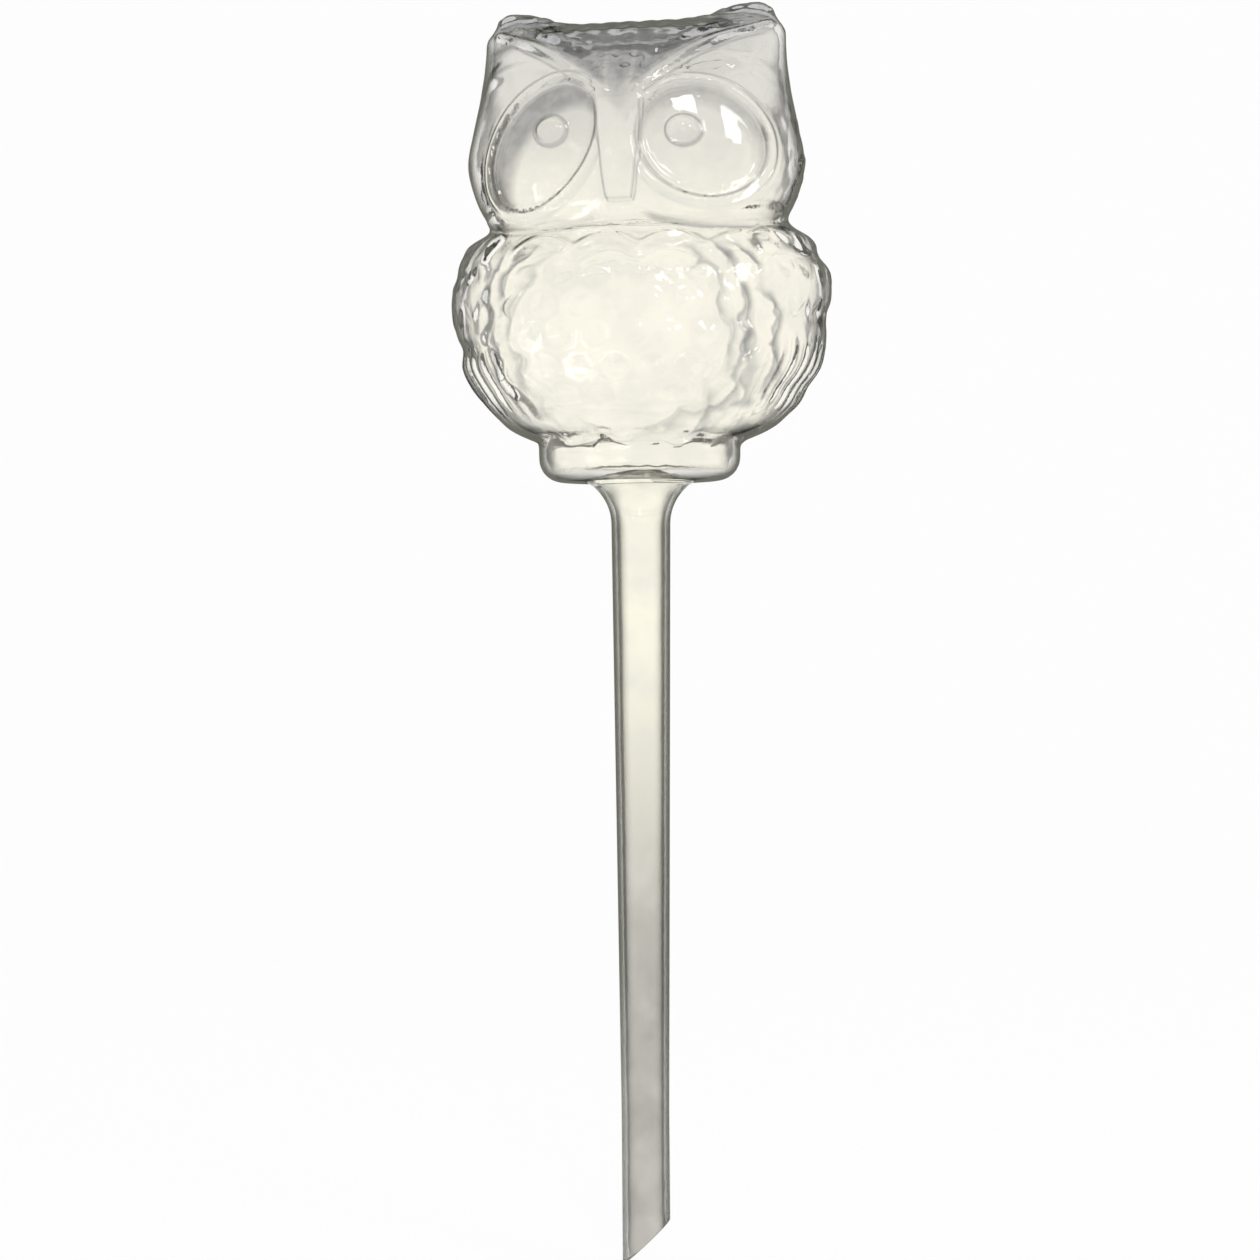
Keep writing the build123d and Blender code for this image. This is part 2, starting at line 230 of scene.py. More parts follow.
class SpikeColours(bpy.types.PropertyGroup):
    """Colours and finish of the clear plastic, with the painted shade of its edges, crown and
    creases, as linear values
    """

    # The head's tint is greyer than the belly's, and the tip's greyer than the stem top's
    head_tint: colour("Head Tint", (0.82, 0.81, 0.785), "Clear plastic of the head")
    belly_tint: colour("Belly Tint", (1.0, 0.98, 0.91), "Clear plastic of the body and plinth")
    stem_tint: colour("Stem Tint", (1.0, 0.983, 0.902), "Clear plastic at the top of the stem")
    end_tint: colour("End Tint", (0.648, 0.633, 0.606), "Clear plastic at the tip")
    # Painted shade: the dark tint mixed over the rough crown, along the upper inside of each eye
    # and into the face's thin creases
    painted_shade_tint: colour("Crown Tint", (0.33, 0.335, 0.34), "Clear plastic of the rough crown")
    crown_shade_share: share("Crown Share", 0.95, "How far the crown tint takes over")
    crease_shade_share: share("Crease Share", 0.75, "How far the crown tint fills the thin creases")
    # Painted shade: the dark tint mixed in where the wall is seen at grazing angles, darkening the
    # outlines
    edge_shade_tint: colour("Edge Tint", (0.14, 0.14, 0.115), "Clear plastic seen along its wall")
    edge_shade_share: share("Edge Share", 0.96, "How far the edge tint takes over at grazing angles")
    owl_edge_start: share("Owl Edge Start", 0.44, "Where the owl's edge tint starts")
    owl_edge_end: share("Owl Edge End", 0.84, "Where the owl's edge tint is full")
    stem_edge_start: share("Stem Edge Start", 0.10, "Where the stem's edge tint starts")
    stem_edge_end: share("Stem Edge End", 0.66, "Where the stem's edge tint is full")
    roughness: share("Roughness", 0.035, "Roughness of the moulded surface")
    ior: share("Refractive Index", 1.46, "Refractive index of the clear plastic")


class StudioSizes(bpy.types.PropertyGroup):
    """Camera, floor and lamps"""

    camera_turn: angle("Camera Turn", 11.0, "Turn of the camera round the owl")
    camera_roll: angle("Camera Roll", 0.45, "Roll of the camera")
    camera_distance: length("Camera Distance", 0.600, "Distance from camera to stem")
    camera_side: length("Camera Side", -0.0026, "Sideways place of the picture's middle")
    camera_height: length("Camera Height", -0.0329, "Height of the picture's middle")
    view_width: length("View Width", 0.280, "Width of the view at the stem's axis")
    floor_gap: length("Floor Gap", 0.004, "Gap between the tip and the floor")
    floor_size: length("Floor Size", 6.0, "Width of the floor")
    floor_bend: length("Floor Bend", 0.6, "Radius of the bend between floor and backdrop")
    wall_place: length("Backdrop Place", 1.4, "Distance of the backdrop behind the owl")
    world_strength: share("World Strength", 0.85, "Strength of the studio's even light")
    key_power: share("Key Power", 1.8, "Power of the key lamp in watts")
    side_power: share("Side Power", 1.2, "Power of the side lamp in watts")
    lamp_size: length("Lamp Size", 0.20, "Width of each lamp")


GROUPS = {
    "spike_owl": OwlSizes,
    "spike_face": FaceSizes,
    "spike_feathers": FeatherSizes,
    "spike_stem": StemSizes,
    "spike_colours": SpikeColours,
    "spike_studio": StudioSizes,
}


def settings(name):
    """One of the scene's setting groups"""
    return getattr(bpy.context.scene, name)


# Implicit form of the owl


def smooth_shares(shares, column, height):
    """One column of a share table at the given height shares, along a smooth curve"""
    heights = shares[:, 0]
    values = shares[:, column]
    slopes = np.gradient(values, heights)
    at = np.clip(height, 0.0, 1.0)
    index = np.clip(np.searchsorted(heights, at) - 1, 0, len(heights) - 2)
    gap = heights[index + 1] - heights[index]
    part = (at - heights[index]) / gap
    rise = values[index + 1] - values[index]
    first = slopes[index] * gap
    last = slopes[index + 1] * gap
    cubic = first + last - 2.0 * rise
    square = 3.0 * rise - 2.0 * first - last
    return values[index] + part * (first + part * (square + part * cubic))


def as_distance(field, cell):
    """The field divided by its own slope, which makes it a distance near its surface"""
    slopes = np.gradient(field, cell)
    steepness = np.sqrt(sum(slope**2 for slope in slopes))
    return field / np.maximum(steepness, 1.0)


def form_distance(grid, cell, shares, sizes, boxiness, place=0.0, lean=0.0, back=0.0):
    """Distance from a form through oval sections of a width, depth, foot and height"""
    x, y, z = grid
    width, depth, foot, height = sizes
    height_share = (z - foot) / height
    middle = place
    if lean:
        middle = place + math.copysign(lean, place) * smooth_shares(shares, 3, height_share)
    half_width = width / 2 * smooth_shares(shares, 1, height_share)
    half_depth = depth / 2 * smooth_shares(shares, 2, height_share)
    half_width = half_width * (1.0 + back * np.clip(y / half_depth, -1.0, 1.0))
    across = np.abs((x - middle) / half_width) ** boxiness
    along = np.abs(y / half_depth) ** boxiness
    round_field = (across + along) ** (1.0 / boxiness) - 1.0
    side = as_distance(round_field, cell)
    return np.maximum(side, np.maximum(z - foot - height, foot - z))


def plinth_distance(grid, owl):
    """Distance from the plinth, an oval block with a rounded lower edge"""
    x, y, z = grid
    half_width = owl.plinth_width / 2
    half_depth = owl.plinth_depth / 2
    oval = np.sqrt((x / half_width) ** 2 + (y / half_depth) ** 2)
    slope = np.sqrt((x / half_width**2) ** 2 + (y / half_depth**2) ** 2) / np.maximum(oval, 0.05)
    side = (oval - 1.0) / np.maximum(slope, 1.0) + owl.plinth_edge
    under = owl.plinth_edge - z
    corner = np.sqrt(np.maximum(side, 0.0) ** 2 + np.maximum(under, 0.0) ** 2)
    rounded = corner + np.minimum(np.maximum(side, under), 0.0) - owl.plinth_edge
    return np.maximum(rounded, z - owl.plinth_height)


def blend_forms(first, second, softness):
    """Union of two distances with a soft crease"""
    mix = np.clip(0.5 + 0.5 * (second - first) / softness, 0.0, 1.0)
    return second + (first - second) * mix - softness * mix * (1.0 - mix)


def soften(field, passes):
    """The field after a few passes of a three-cell blur along each direction"""
    for _ in range(passes):
        for axis in range(3):
            edge = [(1, 1) if axis == side else (0, 0) for side in range(3)]
            wide = np.pad(field, edge, mode="edge")
            low = np.take(wide, range(0, field.shape[axis]), axis=axis)
            high = np.take(wide, range(2, field.shape[axis] + 2), axis=axis)
            field = 0.5 * field + 0.25 * (low + high)
    return field


def owl_field(owl, cell):
    """Distance from the owl's plain outside on a grid, with the grid's first corner"""
    margin = 4 * cell
    low, high = cad_box
    first = np.array((low[0] - margin, low[1] - margin, -margin))
    last = np.array(high) + margin
    counts = np.ceil((last - first) / cell).astype(int)
    axes = [first[i] + cell * np.arange(counts[i]) for i in range(3)]
    x, y, z = np.meshgrid(*axes, indexing="ij", sparse=True)
    grid = (x, y - owl.parting, z)
    body_sizes = (owl.body_width, owl.body_depth, owl.body_foot, owl.body_height)
    head_sizes = (owl.head_width, owl.head_depth, owl.head_foot, owl.head_height)
    ear_sizes = (owl.ear_width, owl.ear_width, owl.ear_foot, owl.ear_height)
    ahead = (x, grid[1] + owl.head_forward, z)
    head = form_distance(ahead, cell, HEAD_SHARES, head_sizes, owl.head_boxiness)
    for place in (-owl.ear_root, owl.ear_root):
        form = (cell, EAR_SHARES, ear_sizes, owl.ear_boxiness)
        ear = form_distance(ahead, *form, place, owl.ear_lean)
        head = blend_forms(head, ear, owl.ear_blend)
    form = (cell, BODY_SHARES, body_sizes, owl.body_boxiness)
    body = form_distance(grid, *form, back=owl.body_back)
    field = blend_forms(body, head, owl.neck_blend)
    field = blend_forms(field, plinth_distance(grid, owl), owl.neck_blend)
    return soften(field, 1), first


def sample(field, first, cell, points):
    """Values of a grid at points between its corners"""
    place = (points - first) / cell
    corner = np.clip(np.floor(place).astype(int), 0, np.array(field.shape) - 2)
    part = place - corner
    total = np.zeros(len(points))
    for step in np.ndindex(2, 2, 2):
        weight = np.prod(np.where(step, part, 1.0 - part), axis=1)
        i, j, k = (corner + step).T
        total += weight * field[i, j, k]
    return total


def skin(field, first, cell):
    """Closed quad skin of the grid's zero level, as points and faces"""
    inside = field < 0.0
    cells = sum(
        inside[i:inside.shape[0] - 1 + i, j:inside.shape[1] - 1 + j, k:inside.shape[2] - 1 + k]
        .astype(np.int8)
        for i, j, k in np.ndindex(2, 2, 2)
    )
    mixed = (cells > 0) & (cells < 8)
    places = np.argwhere(mixed)
    index = np.full(mixed.shape, -1)
    index[mixed] = np.arange(len(places))
    total = np.zeros((len(places), 3))
    crossings = np.zeros(len(places))
    for axis in range(3):
        step = np.eye(3, dtype=int)[axis]
        others = [side for side in range(3) if side != axis]
        for a, b in np.ndindex(2, 2):
            start = np.zeros(3, int)
            start[others[0]], start[others[1]] = a, b
            i, j, k = (places + start).T
            near = field[i, j, k]
            i, j, k = (places + start + step).T
            far = field[i, j, k]
            crossed = (near < 0.0) != (far < 0.0)
            gap = np.where(crossed, near - far, 1.0)
            spot = start + step * (near / gap)[:, None]
            total[crossed] += spot[crossed]
            crossings += crossed
    points = first + cell * (places + total / crossings[:, None])
    faces = []
    for axis in range(3):
        u, v = (axis + 1) % 3, (axis + 2) % 3
        near = np.take(inside, range(0, inside.shape[axis] - 1), axis=axis)
        far = np.take(inside, range(1, inside.shape[axis]), axis=axis)
        spots = np.argwhere(near != far)
        spots = spots[(spots[:, u] > 0) & (spots[:, v] > 0)]
        leaving = near[tuple(spots.T)]
        ring = []
        for a, b in ((0, 0), (1, 0), (1, 1), (0, 1)):
            corner = spots.copy()
            corner[:, u] -= a
            corner[:, v] -= b
            ring.append(index[tuple(corner.T)])
        quads = np.stack(ring, axis=1)
        quads[~leaving] = quads[~leaving][:, ::-1]
        faces.append(quads)
    return points, np.concatenate(faces)


def settle(points, field, first, cell):
    """Points moved onto the grid's zero level, with their outward directions"""
    slopes = np.gradient(field, cell)

    def lean_at(places):
        return np.stack([sample(slope, first, cell, places) for slope in slopes], axis=1)

    for _ in range(3):
        lean = lean_at(points)
        steepness = np.maximum((lean**2).sum(axis=1), 0.1)
        points = points - lean * (sample(field, first, cell, points) / steepness)[:, None]
    lean = lean_at(points)
    return points, lean / np.linalg.norm(lean, axis=1)[:, None]


# Face of the owl, as heights over its smooth front


def ramp(value, low, high):
    """Smooth step from 0 at low to 1 at high"""
    part = np.clip((value - low) / (high - low), 0.0, 1.0)
    return part * part * (3.0 - 2.0 * part)


def fall(value, low, high):
    """Smooth step from 1 at low to 0 at high"""
    return 1.0 - ramp(value, low, high)


def band(value, low, full, fade, end):
    """1 between two places, with a smooth rise before them and a smooth fall after them"""
    return ramp(value, low, full) * fall(value, fade, end)


def scallops(value, width, start):
    """Row of arches of the given width, 0 where they meet and 1 at their tops"""
    return np.abs(np.sin(value * math.pi / width + start))


def ridge(distance, half_width):
    """Rounded ridge, 1 on its middle line and 0 past its half width"""
    part = np.clip(np.abs(distance) / half_width, 0.0, 1.0)
    return (1.0 - part * part) ** 1.5


def line_distance(x, z, places):
    """Distance from a bent line in the front view, and the share of the way along it"""
    best = np.full(x.shape, 1.0)
    along = np.zeros(x.shape)
    count = len(places) - 1
    for index in range(count):
        start = np.array(places[index])
        run = np.array(places[index + 1]) - start
        part = ((x - start[0]) * run[0] + (z - start[1]) * run[1]) / (run @ run)
        part = np.clip(part, 0.0, 1.0)
        gap = np.hypot(x - start[0] - part * run[0], z - start[1] - part * run[1])
        nearer = gap < best
        best = np.where(nearer, gap, best)
        along = np.where(nearer, (index + part) / count, along)
    return best, along


def arc_places(inner, middle, outer, count=14):
    """Places of the front view along a smooth curve through three places"""
    places = []
    for part in np.linspace(0.0, 1.0, count):
        left = np.array(inner) * (1 - part) * (1 - 2 * part)
        centre = np.array(middle) * 4 * part * (1 - part)
        right = np.array(outer) * part * (2 * part - 1)
        places.append(left + centre + right)
    return places


# Places along the brow, the face disc's lower edge, the lid and the crest, seen from the front
BROW = arc_places((0.0030, 0.0812), (0.0150, 0.0905), (0.0300, 0.0985))
CHIN = arc_places((0.0050, 0.0570), (0.0185, 0.0553), (0.0315, 0.0572))
LID = arc_places((0.0075, 0.0835), (0.0190, 0.0882), (0.0300, 0.0870))
CREST = arc_places((0.0075, 0.0908), (0.0170, 0.0958), (0.0265, 0.0995))

# Height, slope and bend away from the middle of the brow's and the face disc's lower edges
BROW_LINE = (0.0785, 0.86, -6.4)
CHIN_LINE = (0.0575, -0.404, 9.5)


def oval_distance(across, rise, half_width, half_height, lean):
    """Distance from the edge of a leaning oval, for numbers and node values alike"""
    leant = across + rise * lean
    wide = leant / (half_width * half_width)
    tall = rise / (half_height * half_height)
    slant = tall + wide * lean
    slope = (wide * wide + slant * slant) ** 0.5
    return (leant * wide + rise * tall - 1.0) / (slope * 2.0 + 5.0)


def eye_distance(face, across, rise, hand):
    """Distance from the edge of an eye, where the hand is -1 for the one eye and 1 for the other"""
    half_width = (hand * face.eye_uneven + 1.0) * face.eye_width
    half_height = (hand * face.eye_uneven * -0.65 + 1.0) * face.eye_height
    lean = hand * face.eye_uneven * -1.2 + face.eye_lean
    return oval_distance(across, rise, half_width, half_height, lean)


def pupil_distance(face, side, z, hand):
    """Distance from the edge of a pupil"""
    rise = z - face.pupil_z + hand * face.pupil_uneven
    return oval_distance(side - face.pupil_x, rise, face.pupil_width, face.pupil_height, 0.0)


def face_relief(points, front, face, softness, fine):
    """Height of the face over the smooth head, with a share of its fine relief"""
    rise = points[:, 2] - face.eye_z
    z = rise * math.cos(face.tilt) - points[:, 0] * math.sin(face.tilt) + face.eye_z
    turned = points[:, 0] * math.cos(face.tilt) + rise * math.sin(face.tilt)
    shifted = turned - face.shift
    x = np.abs(shifted)
    hand = np.sign(shifted)
    soft = 0.0008 * softness
    eye = eye_distance(face, x - face.eye_x, z - face.eye_z, hand)
    socket = -face.socket * fall(eye, -soft - 0.0004, soft)
    part = np.clip((z - face.beak_tip_z) / (face.beak_top_z - face.beak_tip_z), 0.0, 1.0)
    half_width = face.beak_tip + (face.beak_top - face.beak_tip) * part**0.7
    beside = ramp(x - half_width, -0.0006, 0.0004)
    rim = ridge(eye - face.rim_width * 0.55, face.rim_width * 0.75 * softness)
    height = face.rim_height * rim * beside * ramp(z, 0.0565, 0.0590)
    pupil = pupil_distance(face, np.abs(turned), z, hand) - 0.0008 * (softness - 1.0)
    dome = np.clip(-pupil / face.pupil_height, 0.0, 1.0)
    height += face.pupil_rise * (1.0 - (1.0 - dome) ** 2) ** 0.5
    across = ramp(half_width - x, -soft, soft)
    ends = ramp(z, face.beak_tip_z - soft, face.beak_tip_z + soft)
    ends *= fall(z, face.beak_top_z - 0.002, face.beak_top_z + 0.006)
    outside_eye = ramp(eye, -soft, soft)
    height += face.beak_rise * across * ends * outside_eye
    gap, along = line_distance(x, z, BROW)
    width = face.brow_width * (0.55 + 0.45 * np.sin(np.pi * np.clip(along, 0.05, 0.95)))
    height += face.brow_rise * ridge(gap, width * 0.62 * softness) * outside_eye
    lines = (
        (CHIN, face.chin_rise, face.chin_width * 0.62, 1.0),
        (LID, 0.0004, 0.0022, outside_eye),
        (CREST, 0.0005, 0.0009, 1.0),
    )
    for places, rise, half_width, kept in lines:
        gap, _ = line_distance(x, z, places)
        height += rise * ridge(gap, half_width * softness) * kept
    return (socket + height * fine) * front


# Wings, neck and hem, as heights over the smooth body

# Height of the wings' inner edge and its distance from the middle
WING_EDGE = np.array((
    (0.0100, 0.0160), (0.0140, 0.0190), (0.0200, 0.0240), (0.0265, 0.0280),
    (0.0330, 0.0292), (0.0400, 0.0282), (0.0470, 0.0292), (0.0540, 0.0280),
))

# Side, height and depth of the grooves that the wing tiers leave in the owl's outline
GROOVES = (
    (-1, 0.0460, 0.0008), (-1, 0.0300, 0.0012), (-1, 0.0180, 0.0004),
    (1, 0.0485, 0.0011), (1, 0.0360, 0.0009), (1, 0.0205, 0.0006),
)

# Turns round the axis, height and start of each wave in the hem over the plinth
HEM_WAVES = ((11.0, 0.0009, 0.0), (5.0, 0.0008, 0.0), (19.0, 0.0004, 1.0))

# Heights where each kind of feather, and the painted shade of the feather edges, starts, is full,
# starts to fade and is gone
WING_SPAN = (0.0120, 0.0165, 0.0515, 0.0560)
TIER_SPAN = (0.0260, 0.0320, 0.0510, 0.0560)
QUILL_SPAN = (0.0130, 0.0180, 0.0250, 0.0330)
BREAST_SPAN = (0.0150, 0.0200, 0.0440, 0.0480)
RING_SPAN = (0.0140, 0.0200, 0.0410, 0.0460)
SHADE_SPAN = (0.0080, 0.0115, 0.0470, 0.0510)

# Width of the wing tiers' grooves, and how far they rise for each metre towards the back
GROOVE_WIDTH = 0.0023
GROOVE_SLANT = 0.10


def wing_edge(z):
    """Distance of the wings' inner edge from the middle at a height"""
    return np.interp(z, WING_EDGE[:, 0], WING_EDGE[:, 1])


def wing_share(points, softness):
    """1 on the wings and the back, 0 on the breast, with a wavy edge between them"""
    x = np.abs(points[:, 0])
    z = points[:, 2]
    wave = 0.0010 * np.sin(z * math.tau / 0.0090 + np.sign(points[:, 0]) * 0.6)
    wing = ramp(x - wing_edge(z) - wave, -0.0006 * softness, 0.0009 * softness)
    return np.where(points[:, 1] > -0.006, 1.0, wing)


def body_relief(points, wing, feathers, parting, softness):
    """Height of the wings, the ring round the breast, the garland under the chin and the hem"""
    side, depth, z = points.T
    x = np.abs(side)
    soft = 0.0006 * softness
    front = ramp(-depth, 0.002, 0.010)
    height = feathers.wing_rise * wing * band(z, *WING_SPAN)
    edge = wing_edge(z) - 0.0062
    wave = 0.0009 * np.sin(z * math.tau / 0.0075 + 2.0)
    ring = ridge(x - edge - wave, 0.0016 * softness) * band(z, *RING_SPAN)
    height += feathers.ring_rise * ring * front
    upper = feathers.garland_drop * scallops(side - 0.0048, feathers.garland_pitch, 0.0)
    garland = ridge(z - feathers.garland_z - upper, 0.0026 * softness)
    height += feathers.garland_rise * garland * front * fall(x, 0.022, 0.028)
    lower = ridge(z - 0.0435 - 0.0018 * scallops(side, 0.0120, 1.9), 0.0024 * softness)
    height += 0.0004 * lower * front * fall(x, 0.018, 0.024)
    turn = np.arctan2(depth, side)
    drop = sum(size * np.sin(turn * waves + start) for waves, size, start in HEM_WAVES)
    hem = ramp(z - feathers.hem_z + drop, -soft, soft) * fall(z, 0.0125, 0.0165)
    height += feathers.hem_rise * hem
    for hand, groove, cut in GROOVES:
        slant = z - groove - GROOVE_SLANT * (depth - parting)
        beside = ramp(hand * side, 0.026, 0.036)
        height -= cut * beside * np.exp(-((slant / GROOVE_WIDTH) ** 2))
    flatter = ramp(side, 0.024, 0.036) * np.exp(-(((z - 0.0350) / 0.0110) ** 2))
    return height - 0.0007 * flatter


# Shader and geometry node helpers


class Value:
    """A node socket whose sums and products add Math nodes"""

    def __init__(self, tree, socket):
        self.tree = tree
        self.socket = socket

    def math(self, operation, other=None, swapped=False):
        """Result of one Math node"""
        values = [self] if other is None else [self, other]
        if swapped:
            values.reverse()
        return self.tree.node("ShaderNodeMath", {"operation": operation}, dict(enumerate(values)))

    def __add__(self, other):
        return self.math("ADD", other)

    def __sub__(self, other):
        return self.math("SUBTRACT", other)

    def __mul__(self, other):
        return self.math("MULTIPLY", other)

    def __truediv__(self, other):
        return self.math("DIVIDE", other)

    def __pow__(self, other):
        return self.math("POWER", other)

    def __rsub__(self, other):
        return self.math("SUBTRACT", other, swapped=True)

    def __neg__(self):
        return self * -1.0

    __radd__ = __add__
    __rmul__ = __mul__

    def size(self):
        """The value without its sign"""
        return self.math("ABSOLUTE")

    def part(self):
        """What is left of the value after its whole number"""
        return self.math("FRACT")

    def ramp(self, low, high):
        """Smooth step from 0 at low to 1 at high"""
        inputs = {"Value": self, "From Min": low, "From Max": high}
        return self.tree.node("ShaderNodeMapRange", {"interpolation_type": "SMOOTHSTEP"}, inputs)

    def fall(self, low, high):
        """Smooth step from 1 at low to 0 at high"""
        return 1.0 - self.ramp(low, high)

    def band(self, low, full, fade, end):
        """1 between two values, with a smooth rise before them and a smooth fall after them"""
        return self.ramp(low, full) * self.fall(fade, end)

    def line(self, half_width):
        """1 where the value is 0, falling to 0 at the half width on both sides"""
        return self.size().fall(0.0, half_width)


def largest(values):
    """The largest of several node values"""
    total = values[0]
    for value in values[1:]:
        total = total.math("MAXIMUM", value)
    return total


def open_socket(node, name):
    """The node's input of this name or number, in the kind that its settings show"""
    if isinstance(name, int):
        return node.inputs[name]
    return next(socket for socket in node.inputs if socket.name == name and socket.enabled)


class Tree:
    """A node tree that is built from expressions"""

    def __init__(self, tree):
        self.tree = tree

    def node(self, kind, options=None, inputs=None, output=0):
        """One node with its settings and inputs, as the value of one of its outputs"""
        node = self.tree.nodes.new(kind)
        for name, value in (options or {}).items():
            setattr(node, name, value)
        for name, value in (inputs or {}).items():
            self.feed(open_socket(node, name), value)
        return Value(self, node.outputs[output])

    def find(self, kind):
        """The tree's first node of a type"""
        return next(node for node in self.tree.nodes if node.type == kind)

    def feed(self, socket, value):
        """Puts a link or a plain value into a socket"""
        if isinstance(value, Value):
            self.tree.links.new(value.socket, socket)
        else:
            socket.default_value = value

    def axes(self, vector):
        """The three parts of a vector"""
        node = self.node("ShaderNodeSeparateXYZ", inputs={"Vector": vector}).socket.node
        return [Value(self, socket) for socket in node.outputs]

    def vector(self, x, y, z):
        """A vector from three values"""
        return self.node("ShaderNodeCombineXYZ", inputs={"X": x, "Y": y, "Z": z})

    def moved(self, position, offset):
        """A position moved by an offset"""
        return self.node("ShaderNodeVectorMath", {"operation": "ADD"}, {0: position, 1: offset})

    def mix(self, factor, first, second):
        """A colour between two colours"""
        node = self.tree.nodes.new("ShaderNodeMix")
        node.data_type = "RGBA"
        shown = [socket for socket in node.inputs if socket.enabled]
        for socket, value in zip(shown, (factor, first, second)):
            self.feed(socket, value)
        return Value(self, next(socket for socket in node.outputs if socket.enabled))

    def noise(self, position, scale, detail=2.0, rough=0.5):
        """Uneven value round one half"""
        inputs = {"Vector": position, "Scale": scale, "Detail": detail, "Roughness": rough}
        return self.node("ShaderNodeTexNoise", {"noise_dimensions": "3D"}, inputs)

    def surface(self, factor, first, second):
        """Ends a material's tree in a mix of two shaders"""
        mixed = self.node("ShaderNodeMixShader", inputs={0: factor, 1: first, 2: second})
        self.feed(self.find("OUTPUT_MATERIAL").inputs["Surface"], mixed)


def geometry_tree(name, lengths, counts):
    """A geometry node group with named inputs, its builder and its input values"""
    group = bpy.data.node_groups.new(name, "GeometryNodeTree")
    sockets = [("Geometry", "Geometry")]
    sockets += [(label, "Float") for label in lengths]
    sockets += [(label, "Int") for label in counts]
    sockets += [("Material", "Material")]
    for label, kind in sockets:
        group.interface.new_socket(label, in_out="INPUT", socket_type="NodeSocket" + kind)
    group.interface.new_socket("Geometry", in_out="OUTPUT", socket_type="NodeSocketGeometry")
    tree = Tree(group)
    source = group.nodes.new("NodeGroupInput")
    values = {socket.name: Value(tree, socket) for socket in source.outputs if socket.name}
    return group, tree, values


def end_tree(tree, geometry, material):
    """Ends a tree in Realize Instances and Set Material"""
    real = tree.node("GeometryNodeRealizeInstances", inputs={"Geometry": geometry})
    done = tree.node("GeometryNodeSetMaterial", inputs={"Geometry": real, "Material": material})
    output = tree.tree.nodes.new("NodeGroupOutput")
    tree.feed(output.inputs["Geometry"], done)


def tree_values(sizes, labels):
    """A tree's input values, from the settings with the same names"""
    return {label: getattr(sizes, label.lower().replace(" ", "_")) for label in labels}


def take_result(obj, modifier):
    """Makes an object's mesh the plain result of a modifier, and removes the modifier"""
    bpy.context.view_layer.update()
    depsgraph = bpy.context.evaluated_depsgraph_get()
    obj.data = bpy.data.meshes.new_from_object(obj.evaluated_get(depsgraph))
    obj.modifiers.remove(modifier)


def apply_tree(obj, group, values):
    """Makes an object's mesh what a tree makes of it, with the inputs set by identifier"""
    modifier = obj.modifiers.new("Tree", "NODES")
    modifier.node_group = group
    for item in group.interface.items_tree:
        if item.in_out == "INPUT" and item.name in values:
            modifier[item.identifier] = values[item.name]
    take_result(obj, modifier)


FEATHER_LENGTHS = (
    "Tier Pitch", "Tier Step", "Tier Depth", "Quill Pitch", "Quill Depth",
    "Breast Pitch", "Breast Depth", "Crown Pitch", "Crown Depth",
)
FEATHER_COUNTS = ("Seed",)


def staggered(x, z, pitch, height_share):
    """Place across and up each cell of a pattern whose rows are staggered"""
    row = z / pitch / height_share
    shift = row.math("FLOOR").math("MODULO", 2.0) * 0.5
    return (x / pitch + shift + 20.0).part() - 0.5, row.part()


